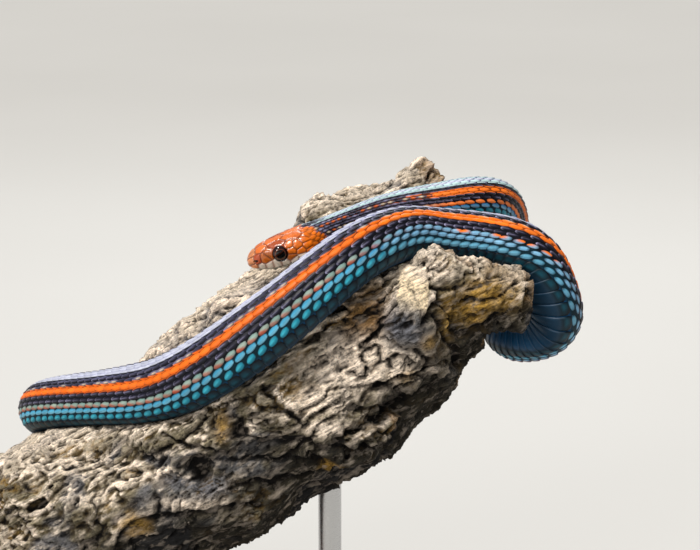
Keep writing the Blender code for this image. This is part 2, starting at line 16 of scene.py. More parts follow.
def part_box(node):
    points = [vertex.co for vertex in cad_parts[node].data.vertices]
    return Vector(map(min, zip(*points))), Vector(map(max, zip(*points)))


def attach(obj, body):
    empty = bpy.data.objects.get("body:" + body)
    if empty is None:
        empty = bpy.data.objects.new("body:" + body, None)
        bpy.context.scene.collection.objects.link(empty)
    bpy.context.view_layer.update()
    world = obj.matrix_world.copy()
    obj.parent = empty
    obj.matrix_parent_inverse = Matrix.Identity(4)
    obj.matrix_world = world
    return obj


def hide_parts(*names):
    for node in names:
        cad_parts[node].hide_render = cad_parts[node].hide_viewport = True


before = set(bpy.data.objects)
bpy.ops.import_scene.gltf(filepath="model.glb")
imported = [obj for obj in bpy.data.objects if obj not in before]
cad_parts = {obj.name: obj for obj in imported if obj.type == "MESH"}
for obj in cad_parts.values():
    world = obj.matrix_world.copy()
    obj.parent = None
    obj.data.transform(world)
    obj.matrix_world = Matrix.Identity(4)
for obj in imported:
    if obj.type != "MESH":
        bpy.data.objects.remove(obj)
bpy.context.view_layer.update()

MM = 0.001

# Snake, by length along its back from the tip of the snout
TOTAL_LENGTH = 790.0
VENT_AT = 600.0
EYE_AT = 11.4
EYE_HALVES = (2.5, 1.55, 2.65)
EYE_SIDE = 4.7
EYE_RISE = 1.15
MOUTH_DROP = 1.9
MOUTH_DIP = 1.5
MOUTH_FALL = 0.4
MOUTH_END = 20.0
BELLY_SHARE = 0.45
BLEND_FROM = 21.0
BLEND_OVER = 8.0
CURVE_STEPS = 12
CURVE_SOFTENING = 24
TABLE_STEP = 0.5
TABLE_SOFTENING = 8
BRANCH_GROOVE = 0.4
BRANCH_SLOPE_REACH = 6.0

# Where the snake's axis runs over the branch, and which way its back faces there
DRAPE = [
    ("snout", (19.1, -12.0, 191.8), (-0.3, -0.16, 1.0)),
    ("eyes", (29.9, -11.2, 195.2), (-0.3, -0.16, 1.0)),
    ("nape", (40.4, -8.0, 199.0), (-0.3, -0.1, 1.0)),
    ("neck", (50.7, -1.0, 201.3), (-0.1, 0.05, 1.0)),
    ("rear_1", (66.1, 7.0, 204.9), (-0.1, -0.11, 1.0)),
    ("rear_2", (83.5, 12.0, 206.2), (0.0, -0.16, 1.0)),
    ("rear_3", (98.0, 16.0, 207.0), (0.15, -0.14, 1.0)),
    ("rear_turn", (106.2, 28.0, 201.5), (0.75, 0.04, 0.68)),
    ("back_1", (108.8, 40.0, 188.4), (0.95, 0.25, 0.1)),
    ("back_2", (109.0, 43.0, 172.0), (0.95, 0.3, 0.0)),
    ("back_3", (107.0, 35.0, 160.0), (0.9, 0.3, -0.4)),
    ("under", (110.0, 19.0, 157.0), (0.8, 0.1, -0.6)),
    ("low_right", (118.1, 3.1, 162.9), (1.0, 0.38, -0.23)),
    ("right_1", (121.8, -7.0, 171.2), (1.0, 0.94, 0.51)),
    ("right_2", (120.2, -10.1, 179.5), (0.9, 1.0, 0.39)),
    ("right_3", (115.7, -10.2, 189.9), (1.0, 0.61, 0.74)),
    ("top_1", (107.4, -9.2, 196.3), (0.44, 0.16, 1.0)),
    ("top_2", (95.6, -8.5, 198.3), (0.19, 0.22, 1.0)),
    ("crest", (82.4, -11.7, 200.1), (0.1, 0.24, 1.0)),
    ("crest_left", (71.4, -17.6, 202.1), (-0.18, 0.21, 1.0)),
    ("front_1", (60.6, -26.2, 200.9), (-0.4, -0.01, 1.0)),
    ("front_2", (49.4, -33.1, 195.1), (-0.68, -0.12, 1.0)),
    ("front_3", (31.1, -39.0, 180.4), (-0.8, -0.04, 1.0)),
    ("front_4", (12.0, -38.0, 165.8), (-0.78, -0.12, 1.0)),
    ("left_1", (-5.8, -28.0, 153.4), (-0.64, -0.16, 1.0)),
    ("left_2", (-25.6, -14.0, 145.5), (-0.43, -0.04, 1.0)),
]
WIND_FROM = 452.0
WIND_START_X = -35.0
WIND_END_X = -97.0
WIND_START_ANGLE = 70.0
WIND_SWEEP = 520.0
WIND_STEP = 24.0

# Length along the back, full width and full height of the body and tail
BODY_SIZES = [
    (0.0, 6.0, 5.0),
    (23.0, 12.6, 9.6),
    (29.0, 10.6, 9.4),
    (40.0, 10.4, 9.8),
    (55.0, 11.6, 11.0),
    (80.0, 15.0, 13.8),
    (105.0, 15.4, 14.2),
    (150.0, 17.2, 15.8),
    (190.0, 18.8, 17.6),
    (215.0, 18.4, 17.2),
    (262.0, 19.4, 17.8),
    (285.0, 20.2, 18.4),
    (335.0, 22.4, 21.0),
    (365.0, 22.2, 20.6),
    (405.0, 20.0, 17.6),
    (470.0, 19.6, 16.8),
    (560.0, 16.0, 13.8),
    (600.0, 12.6, 11.2),
    (640.0, 10.4, 9.4),
    (700.0, 6.6, 6.0),
    (760.0, 3.0, 2.8),
    (790.0, 1.0, 1.0),
]

# Length from the snout, half width, height above and below the axis, squareness of crown and jaw
HEAD_SIZES = [
    (0.0, 1.8, 1.1, 1.5, 0.75, 0.9),
    (0.6, 2.8, 2.0, 2.3, 0.72, 0.88),
    (2.0, 3.6, 2.9, 3.0, 0.68, 0.85),
    (4.5, 4.4, 4.1, 3.9, 0.66, 0.82),
    (8.0, 5.1, 4.8, 4.8, 0.66, 0.80),
    (11.4, 5.9, 5.1, 5.5, 0.70, 0.78),
    (15.0, 6.9, 5.3, 5.8, 0.78, 0.76),
    (18.5, 7.6, 5.3, 5.8, 0.86, 0.76),
    (21.5, 7.3, 5.3, 5.5, 0.94, 0.78),
    (25.0, 6.2, 5.2, 5.0, 1.0, 0.80),
    (30.0, 5.4, 5.2, 4.4, 1.0, 0.80),
]
BODY_CROWN = 1.0
BODY_JAW = 0.80

# Branch, by stations along its axis: point, half height and half depth across the axis
BRANCH_AXIS = [
    ((-118.0, 2.0, 59.0), 25.0, 28.0),
    ((-92.0, 2.0, 69.0), 29.0, 32.0),
    ((-62.0, 2.0, 84.0), 32.0, 35.0),
    ((-32.0, 0.0, 101.0), 33.0, 37.0),
    ((-8.0, -2.0, 115.0), 32.0, 38.0),
    ((12.0, -2.0, 131.0), 36.0, 41.0),
    ((32.0, 0.0, 147.0), 38.0, 44.0),
    ((54.0, 3.0, 159.0), 37.0, 43.0),
    ((74.0, 5.0, 168.0), 29.0, 39.0),
    ((88.0, 7.0, 176.0), 21.0, 33.0),
    ((97.0, 8.0, 181.0), 14.0, 24.0),
    ((103.0, 8.0, 184.0), 7.0, 12.0),
]

# Scales: rows are counted from the one along the middle of the back
ROW_WIDTHS = (1.0, 0.95, 0.97, 0.97, 0.97, 0.97, 1.0, 0.97, 1.1, 1.57)
SCUTE_EDGE = 0.62            # share where the belly's wide scutes begin
ROW_COUNTS = [(0.0, 10), (470.0, 9), (600.0, 7), (650.0, 5), (705.0, 4), (750.0, 3)]
SCALE_PITCH = [
    (0.0, 2.1),
    (23.0, 2.2),
    (60.0, 2.8),
    (120.0, 3.4),
    (200.0, 3.8),
    (250.0, 4.05),
    (345.0, 4.0),
    (420.0, 3.9),
    (500.0, 3.6),
    (600.0, 3.1),
    (650.0, 2.7),
    (700.0, 2.3),
    (760.0, 1.8),
    (790.0, 1.4),
]
SCALES_FROM = 20.6           # where the body's scales take over from the head's shields
COAT_SHARE = 0.115           # thickness of a scale as a share of its pitch
ACCENTS = (223.5, 230.5, 238.5, 253.5)   # lengths of the orange flecks above the crest's blue rows
PATCH_SIZE = 0.003           # a scale's patch on the map, which lies at the scale's root
MAP_STRIPS = 6               # strips that the map folds the body's length into

# Fineness
HEAD_STEP = 0.2
HEAD_COLUMNS = 288
BODY_STEP = 2.0
BODY_COLUMNS = 96
SURFACE_STEP = 0.5
SURFACE_COLUMNS = 64
HEAD_SKIN_END = 24.0
HEAD_SKIN_DEPTH = 0.3


# Curves and tables, as for the solids

def soften(rows, rounds):
    """Rows averaged with their neighbours, ends kept."""
    rows = rows.copy()
    for _ in range(rounds):
        rows[1:-1] = 0.25 * rows[:-2] + 0.5 * rows[1:-1] + 0.25 * rows[2:]
    return rows


def smooth_curve(points):
    """A curve through all the points (Catmull-Rom)."""
    points = np.asarray(points, float)
    padded = np.vstack([2 * points[0] - points[1], points, 2 * points[-1] - points[-2]])
    out = []
    for i in range(len(points) - 1):
        a, b, c, d = padded[i:i + 4]
        for k in range(CURVE_STEPS):
            t = k / CURVE_STEPS
            out.append(0.5 * (2 * b + (c - a) * t + (2 * a - 5 * b + 4 * c - d) * t * t
                              + (3 * b - a - 3 * c + d) * t ** 3))
    out.append(points[-1])
    return np.array(out)


def table_at(table, where):
    """Each column of a table, read smoothly at the given lengths."""
    table = np.asarray(table, float)
    steps = int((table[-1, 0] - table[0, 0]) / TABLE_STEP)
    fine = np.linspace(table[0, 0], table[-1, 0], steps + 1)
    columns = [np.interp(fine, table[:, 0], table[:, c]) for c in range(1, table.shape[1])]
    return np.array([np.interp(where, fine, soften(column, TABLE_SOFTENING))
                     for column in columns])


def unit(rows):
    return rows / np.linalg.norm(rows, axis=-1, keepdims=True)


def ease(value, low=0.0, high=1.0):
    """0 below low, 1 above high and a smooth rise between."""
    share = np.clip((value - low) / (high - low), 0.0, 1.0)
    return share * share * (3 - 2 * share)


def branch_frame(x):
    """Axis point, upward direction, half height and half depth of the branch at x."""
    xs = [station[0][0] for station in BRANCH_AXIS]
    ys = [station[0][1] for station in BRANCH_AXIS]
    zs = [station[0][2] for station in BRANCH_AXIS]
    highs = [station[1] for station in BRANCH_AXIS]
    deeps = [station[2] for station in BRANCH_AXIS]
    centre = np.array([x, np.interp(x, xs, ys), np.interp(x, xs, zs)])
    reach = BRANCH_SLOPE_REACH
    slope = np.interp(x + reach, xs, zs) - np.interp(x - reach, xs, zs)
    along = unit(np.array([2 * reach, 0.0, slope]))
    up = np.array([-along[2], 0.0, along[0]])
    return centre, up, np.interp(x, xs, highs), np.interp(x, xs, deeps)


def winding_points():
    """Route and back directions where the snake winds round the branch."""
    count = int(WIND_SWEEP / WIND_STEP)
    points = []
    backs = []
    for i in range(count + 1):
        share = i / count
        angle = math.radians(WIND_START_ANGLE - share * WIND_SWEEP)
        length = WIND_FROM + share * (TOTAL_LENGTH - WIND_FROM)
        away = BELLY_SHARE * float(table_at(BODY_SIZES, length)[1]) + BRANCH_GROOVE
        x = WIND_START_X + share * (WIND_END_X - WIND_START_X)
        centre, up, high, deep = branch_frame(x)
        side = np.array([0.0, 1.0, 0.0])
        points.append(centre + side * (deep + away) * math.cos(angle)
                      + up * (high + away) * math.sin(angle))
        backs.append(side * math.cos(angle) / deep + up * math.sin(angle) / high)
    return np.array(points), unit(np.array(backs))


class Route:
    """The snake's axis, read by length along the back."""

    def __init__(self):
        wind_points, wind_backs = winding_points()
        points = np.vstack([[p for _, p, _ in DRAPE], wind_points])
        backs = np.vstack([unit(np.array([b for _, _, b in DRAPE], float)), wind_backs])
        axis = soften(smooth_curve(points), CURVE_SOFTENING)
        back = soften(smooth_curve(backs), CURVE_SOFTENING)
        run = np.concatenate([[0.0], np.cumsum(np.linalg.norm(np.diff(axis, axis=0), axis=1))])
        even = np.linspace(0.0, run[-1], int(run[-1]))
        self.length = even * TOTAL_LENGTH / run[-1]
        self.axis = np.array([np.interp(even, run, axis[:, c]) for c in range(3)]).T
        self.along = unit(np.gradient(self.axis, axis=0))
        back = np.array([np.interp(even, run, back[:, c]) for c in range(3)]).T
        self.back = unit(back - self.along * np.sum(back * self.along, axis=1, keepdims=True))

    def frames(self, length):
        """Points, directions towards the tail, back directions and side directions."""
        point, along, back = (
            np.array([np.interp(length, self.length, rows[:, c]) for c in range(3)]).T
            for rows in (self.axis, self.along, self.back)
        )
        along = unit(along)
        back = unit(back - along * np.sum(back * along, axis=-1, keepdims=True))
        return point, along, back, np.cross(back, along)


def section_sizes(length):
    """Half width, height above and below the axis, and squareness of the top and bottom."""
    width, height = table_at(BODY_SIZES, length)
    same = np.ones_like(width)
    body = np.array([width / 2, height * (1 - BELLY_SHARE), height * BELLY_SHARE,
                     BODY_CROWN * same, BODY_JAW * same])
    head = table_at(HEAD_SIZES, length)
    blend = ease(length, BLEND_FROM, BLEND_FROM + BLEND_OVER)
    return head * (1 - blend) + body * blend


def section_point(sizes, angle):
    """Side and height of the surface at an angle round the body, 0 at the back."""
    half, above, below, crown, jaw = sizes
    across = np.abs(np.sin(angle))
    rise = np.cos(angle)
    top = rise >= 0
    side = np.where(top, across ** crown, across ** jaw) * half
    height = np.where(top, above * np.abs(rise) ** crown, -below * np.abs(rise) ** jaw)
    return side, height


class Surface:
    """The snake's outer form on a fine grid of lengths and shares."""

    def __init__(self, route):
        self.length = np.arange(0.0, TOTAL_LENGTH + SURFACE_STEP / 2, SURFACE_STEP)
        angle = np.linspace(0.0, math.pi, 3 * SURFACE_COLUMNS + 1)[None, :]
        across, rise = section_point(section_sizes(self.length)[:, :, None], angle)
        run = np.cumsum(np.hypot(np.diff(across), np.diff(rise)), axis=1)
        run = np.hstack([np.zeros((len(run), 1)), run])
        self.half_girth = run[:, -1]
        even = np.linspace(0.0, 1.0, SURFACE_COLUMNS + 1)
        across = np.array([np.interp(even, r / r[-1], row) for r, row in zip(run, across)])
        rise = np.array([np.interp(even, r / r[-1], row) for r, row in zip(run, rise)])
        across = np.hstack([-across[:, :0:-1], across])
        rise = np.hstack([rise[:, :0:-1], rise])
        point, _, back, side = route.frames(self.length)
        self.points = (point[:, None] + side[:, None] * across[..., None]
                       + back[:, None] * rise[..., None])
        onward = np.gradient(self.points, axis=0)
        around = np.gradient(self.points, axis=1)
        around[:, 0] = around[:, -1] = around[:, 0] + around[:, -1]
        self.normals = unit(np.cross(onward, around))
        self.stretch = np.linalg.norm(onward, axis=-1, keepdims=True) / SURFACE_STEP

    def read(self, grid, length, share):
        """Values of a grid at lengths and shares, which may run on past the belly's middle."""
        share = np.mod(share + 1.0, 2.0)
        row = np.clip(length / SURFACE_STEP, 0, len(self.length) - 1.001)
        column = np.clip(share * SURFACE_COLUMNS, 0, 2 * SURFACE_COLUMNS - 0.001)
        i = row.astype(int)
        j = column.astype(int)
        down = (row - i)[..., None]
        over = (column - j)[..., None]
        return ((grid[i, j] * (1 - over) + grid[i, j + 1] * over) * (1 - down)
                + (grid[i + 1, j] * (1 - over) + grid[i + 1, j + 1] * over) * down)

    def place(self, length, share, lift):
        """Points at a height over the outer form, below 0 for under it."""
        points = self.read(self.points, length, share)
        return points + unit(self.read(self.normals, length, share)) * lift[..., None]


# Colours, named for the part of the snake or branch that wears them

def paint(code):
    """A colour written as six hex digits, as linear red, green and blue."""
    value = np.array([int(code[i:i + 2], 16) for i in (0, 2, 4)]) / 255
    return np.where(value <= 0.04045, value / 12.92, ((value + 0.055) / 1.055) ** 2.4)


def blend(one, two, share):
    """From one colour to the other, by a share for each point."""
    return one + (two - one) * np.asarray(share)[..., None]


SNAKE = {name: paint(code) for name, code in {
    "stripe": "bcbfd0",
    "mint": "b4d2d2",
    "stripe_rim": "7c7ea6",
    "night": "090818",
    "night_rim": "05050c",
    "fleck_and_sheen": "a09cc0",
    "orange": "f67209",
    "orange_lit": "ff903c",
    "orange_rim": "a44a08",
    "cream": "ecd2b4",
    "brick": "b43c10",
    "sage": "74948e",
    "sky": "3e84b8",
    "sky_lit": "8abfe0",
    "teal": "127e98",
    "teal_lit": "42b4c8",
    # scute: the dark ends of the belly's scutes, deepened as painted shade
    "scute": "08222e",
    "scute_rim": "5c6c80",
    "belly": "0c5a8c",
    "gap": "04060f",
    "crown": "e07028",
    "snout": "da8a58",
    "canthus": "a84418",
    "brow": "a04416",
    "cheek": "b45c14",
    "temple": "e27010",
    "lip": "e6dccc",
    "lip_suture": "94481c",
    "suture": "3c1004",
    "chin": "c4c4b4",
    "mouth": "100604",
    "orbit": "0c0504",
}.items()}


# Meshes and materials

def mesh_piece(name, points, faces, material, tints=None, corner_map=None):
    """A shown piece made of points in millimetres, with a colour at each point if given."""
    mesh = bpy.data.meshes.new(name)
    mesh.from_pydata(points * MM, [], faces)
    mesh.materials.append(material)
    mesh.shade_smooth()
    if tints is not None:
        layer = mesh.attributes.new("tint", "FLOAT_COLOR", "POINT")
        rgba = np.ones((len(points), 4), np.float32)
        rgba[:, :3] = tints
        layer.data.foreach_set("color", rgba.ravel())
    if corner_map is not None:
        layer = mesh.uv_layers.new(name="OFBake")
        layer.uv.foreach_set("vector", np.asarray(corner_map, np.float32).ravel())
    piece = bpy.data.objects.new(name, mesh)
    bpy.context.scene.collection.objects.link(piece)
    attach(piece, "root")
    return piece


def node(tree, kind, inputs, **settings):
    """A shader node, with its inputs set to values or linked to other nodes' outputs."""
    made = tree.nodes.new("ShaderNode" + kind)
    for name, value in settings.items():
        setattr(made, name, value)
    for name, value in inputs.items():
        if isinstance(value, bpy.types.NodeSocket):
            tree.links.new(value, made.inputs[name])
        else:
            made.inputs[name].default_value = value
    return made


def new_material(name, **values):
    """A material with the shader's own sockets set, its node tree and its shader."""
    made = bpy.data.materials.new(name)
    made.use_nodes = True
    shader = made.node_tree.nodes["Principled BSDF"]
    for key, value in values.items():
        shader.inputs[key.replace("_", " ").title().replace("Ior", "IOR")].default_value = value
    return made, made.node_tree, shader


def spread(tree, value, low, high, to_low, to_high):
    """A value from one range, read on another."""
    inputs = {"Value": value, "From Min": low, "From Max": high, "To Min": to_low, "To Max": to_high}
    return node(tree, "MapRange", inputs).outputs[0]


def tinted_material(name, size, stretch, depth, shade, rough, **values):
    """Colours kept at the points, broken up by a fine grain that also shows as relief.

    size is the grain's spacing in millimetres and stretch how far it is drawn out on each axis.
    """
    made, tree, shader = new_material(name, **values)
    place = node(tree, "TexCoord", {}).outputs["Object"]
    scaled = node(tree, "VectorMath", {0: place, 1: [1 / (size * MM * s) for s in stretch]},
                  operation="MULTIPLY").outputs[0]
    fine = node(tree, "TexNoise", {"Vector": scaled, "Scale": 1.0, "Detail": 4.0,
                                   "Roughness": 0.6}).outputs["Fac"]
    broad = node(tree, "TexNoise", {"Vector": scaled, "Scale": 0.17, "Detail": 3.0}).outputs["Fac"]
    both = node(tree, "Math", {0: fine, 1: broad}, operation="ADD").outputs[0]
    tint = node(tree, "Attribute", {}, attribute_name="tint").outputs["Color"]
    factor = spread(tree, both, 0.75, 1.25, 1 - shade, 1 + shade)
    colour = node(tree, "VectorMath", {0: tint, "Scale": factor}, operation="SCALE").outputs[0]
    tree.links.new(colour, shader.inputs["Base Color"])
    tree.links.new(spread(tree, broad, 0.3, 0.7, *rough), shader.inputs["Roughness"])
    bump = node(tree, "Bump", {"Height": fine, "Strength": 0.6, "Distance": depth * MM})
    tree.links.new(bump.outputs[0], shader.inputs["Normal"])
    return made


# Skin and the head's shields

def head_axes(route):
    """Origin at the snout, and directions towards the tail, to the side and to the crown."""
    places, _, backs, _ = route.frames(np.array([0.0, EYE_AT]))
    along = unit(places[1] - places[0])
    back = unit(backs[1] - along * np.dot(backs[1], along))
    return places[0], np.array([along, np.cross(back, along), back])


def mouth_height(length):
    """Mouth line in the head's own axes: it dips under the eye and rises to its corner."""
    share = length / MOUTH_END
    return -MOUTH_DROP - MOUTH_DIP * np.sin(math.pi * share) - MOUTH_FALL * share


# The head's shields: name, look, and centres along, to the side and up from the head's axis.
# Those with a side above 0 have a twin on the other side.
UPPER_SHIELDS = [
    ("rostral", "snout", [(0.3, 0.0, -0.5)]),
    ("internasal", "snout", [(2.0, 1.1, 2.7)]),
    ("nasal_front", "snout", [(1.5, 2.8, 0.6)]),
    ("nasal_back", "canthus", [(3.6, 3.8, 0.8)]),
    ("prefrontal", "crown", [(5.2, 1.7, 3.9)]),
    ("loreal", "cheek", [(6.1, 4.5, 0.6)]),
    ("preocular", "cheek", [(8.1, 4.7, 2.2)]),
    ("brow", "brow", [(10.4, 3.9, 4.3), (12.6, 4.2, 4.4)]),
    ("frontal", "crown", [(9.4, 0.0, 5.0), (12.4, 0.0, 5.1)]),
    ("parietal", "crown", [(14.8, 1.9, 5.1), (18.2, 2.3, 5.2)]),
    ("postocular_high", "temple", [(14.9, 5.4, 3.2)]),
    ("postocular_mid", "temple", [(15.1, 6.2, 1.2)]),
    ("postocular_low", "cheek", [(14.5, 6.4, -0.9)]),
    ("lip_1", "snout", [(1.9, 3.3, -1.5)]),
    ("lip_2", "lip", [(4.3, 4.2, -2.0)]),
    ("lip_3", "lip", [(6.8, 4.8, -2.3)]),
    ("lip_4", "lip", [(9.4, 5.2, -2.5)]),
    ("lip_5", "lip", [(12.2, 5.8, -2.5)]),
    ("lip_6", "lip", [(15.2, 6.6, -2.6)]),
    ("lip_7", "lip", [(18.3, 7.2, -2.0)]),
    ("temporal_front", "temple", [(17.6, 6.3, 2.7)]),
    ("temporal_low", "temple", [(18.4, 7.3, 0.2)]),
    ("temporal_back", "temple", [(20.6, 5.2, 4.0)]),
    ("temporal_rear", "temple", [(21.1, 6.8, 1.6)]),
    ("temporal_corner", "temple", [(21.6, 7.0, -1.0)]),
    ("nuchal", "crown", [(21.6, 1.2, 5.2)]),
    ("nuchal_side", "temple", [(21.8, 3.4, 4.8)]),
]
LOWER_SHIELDS = [
    ("mental", "chin", [(0.6, 0.0, -2.8)]),
    ("jaw_1", "chin", [(2.0, 2.6, -3.2)]),
    ("jaw_2", "chin", [(4.0, 3.6, -3.8)]),
    ("jaw_3", "chin", [(6.2, 4.1, -4.2)]),
    ("jaw_4", "chin", [(8.6, 4.6, -4.5)]),
    ("jaw_5", "chin", [(11.2, 5.2, -4.6)]),
    ("jaw_6", "chin", [(14.0, 5.9, -4.6)]),
    ("jaw_7", "chin", [(16.8, 6.5, -4.3)]),
    ("jaw_8", "chin", [(19.6, 6.9, -3.7)]),
    ("chin_front", "chin", [(4.6, 1.3, -4.2)]),
    ("chin_back", "chin", [(8.4, 1.3, -5.0), (10.6, 1.8, -5.3)]),
    ("gular_1", "chin", [(13.4, 0.0, -5.8)]),
    ("gular_2", "chin", [(13.6, 3.0, -5.5)]),
    ("gular_3", "chin", [(16.2, 1.5, -5.9)]),
    ("gular_4", "chin", [(17.0, 4.4, -5.2)]),
    ("gular_5", "chin", [(19.2, 0.0, -5.8)]),
    ("gular_6", "chin", [(19.8, 3.0, -5.5)]),
    ("gular_7", "chin", [(22.2, 1.5, -5.4)]),
    ("gular_8", "chin", [(22.0, 5.0, -4.4)]),
]
NOSTRIL = (2.9, 0.6)          # behind the snout's tip, and up
NOSTRIL_RADIUS = 0.55
SUTURE_WIDTH = 0.13
SUTURE_DEPTH = 0.2
SHIELD_SWELL = 0.2


def shield_fields(local):
    """For points in the head's axes: distance to the nearest suture, and the shield's look."""
    centres = []
    owners = []
    looks = []
    lower = []
    owner = 0
    for low, shields in ((False, UPPER_SHIELDS), (True, LOWER_SHIELDS)):
        for _, look, seats in shields:
            hands = (1,) if seats[0][1] == 0 else (1, -1)
            for hand in hands:
                for x, y, z in seats:
                    centres.append((x, y * hand, z))
                    owners.append(owner)
                    looks.append(look)
                    lower.append(low)
                owner += 1
    centres = np.array(centres)
    owners = np.array(owners)
    lower = np.array(lower)
    apart = local[:, None] - centres[None]
    square = np.sum(apart * apart, axis=-1)
    under = local[:, 2] < mouth_height(local[:, 0])
    jaw_end = local[:, 0] > MOUTH_END
    square = square + 1e4 * ((under[:, None] != lower[None]) & ~jaw_end[:, None])
    first = np.argmin(square, axis=1)
    same = owners[None] == owners[first][:, None]
    other = np.where(same, 1e6, square)
    second = np.argmin(other, axis=1)
    rows = np.arange(len(local))
    between = np.linalg.norm(centres[first] - centres[second], axis=1)
    suture = (other[rows, second] - square[rows, first]) / (2 * between)
    return suture, np.array(looks)[first], owners[first]


def head_form(local, length):
    """Lift of the head's skin over its depth, and its colours."""
    suture, look, owner = shield_fields(local)
    groove = np.exp(-(suture / SUTURE_WIDTH) ** 2)
    lift = SHIELD_SWELL * (1 - np.exp(-suture / 0.5)) - SUTURE_DEPTH * groove
    tints = np.array([SNAKE[name] for name in look])
    turn = np.sin(owner * 12.9898) * 43758.5453
    tints = tints * (1 + 0.16 * (turn - np.floor(turn) - 0.5))[:, None]

    crest = ease(local[:, 2], 1.5, 5.0)
    tints = blend(tints, SNAKE["brow"], 0.35 * crest * ease(np.abs(local[:, 1]), 2.4, 4.2))
    lips = np.isin(look, ["lip", "chin"])
    seam = np.where(lips[:, None], SNAKE["lip_suture"], SNAKE["suture"])
    edge = np.exp(-(suture / np.where(lips, 0.34, 0.26)) ** 2)
    upper = local[:, 2] > mouth_height(local[:, 0])
    tints = blend(tints, seam, edge * np.where(lips & ~upper, 0.4, 0.7))

    mouth = local[:, 2] - mouth_height(local[:, 0])
    open_here = ease(-local[:, 0], -MOUTH_END - 0.5, -MOUTH_END + 0.5)
    slit = np.exp(-(mouth / 0.2) ** 2) * open_here
    lift = lift - 0.5 * slit + 0.1 * np.exp(-((mouth - 0.55) / 0.35) ** 2) * open_here
    # Painted shade: the mouth's crease is painted near black.
    tints = blend(tints, SNAKE["mouth"], slit)

    for hand in (-1, 1):
        away = np.hypot((local[:, 0] - NOSTRIL[0]) / 1.25, (local[:, 2] - NOSTRIL[1]) / 0.85)
        away = away / NOSTRIL_RADIUS + 9.0 * (local[:, 1] * hand < 1.0)
        lift = lift - 0.75 * np.exp(-away ** 4) + 0.1 * np.exp(-((away - 1.35) / 0.3) ** 2)
        # Painted shade: the nostril's pit is painted near black.
        tints = blend(tints, SNAKE["mouth"], np.exp(-away ** 4))
        seat = np.array([EYE_AT, hand * EYE_SIDE, EYE_RISE])
        rel = (local - seat) / EYE_HALVES
        near = np.hypot(rel[:, 0], rel[:, 2])
        outer = local[:, 1] * hand > EYE_SIDE - 1.6
        inside = outer * (1 - ease(near, 0.86, 1.0))
        lift = lift - 1.0 * inside
        rim = outer * np.exp(-((near - 1.13) / 0.09) ** 2)
        lift = lift + 0.12 * rim
        # Painted shade: the skin sloping into the eye's socket is painted near black.
        tints = blend(tints, SNAKE["orbit"], outer * (1 - ease(near, 0.98, 1.12)))
        brow = outer * np.exp(-((near - 1.2) / 0.12) ** 2) * ease(rel[:, 2], 0.0, 0.6)
        tints = blend(tints, SNAKE["brow"], 0.8 * brow)
    return lift, tints


def skin_tints(length, share):
    """The scales' bands, darker, on the skin between them."""
    middles, halves = row_edges(len(ROW_WIDTHS))
    row = np.argmin(np.abs(np.abs(share)[:, None] - middles), axis=1)
    bands = ["stripe_rim", "stripe_rim", "gap", "orange_rim", "orange_rim", "gap", "gap", "gap",
             "teal", "teal"]
    shares = np.array([0.7, 0.5, 0.0, 0.45, 0.8, 0.0, 0.0, 0.0, 0.08, 0.08])
    band = np.array([SNAKE[name] for name in bands])
    tints = blend(np.broadcast_to(SNAKE["gap"], (len(share), 3)), band[row], shares[row])
    collar = (1 - ease(length - 0.5 * row, 21.5, 22.5)) * (row >= 2)
    return blend(tints, SNAKE["temple"] * 0.4, collar)


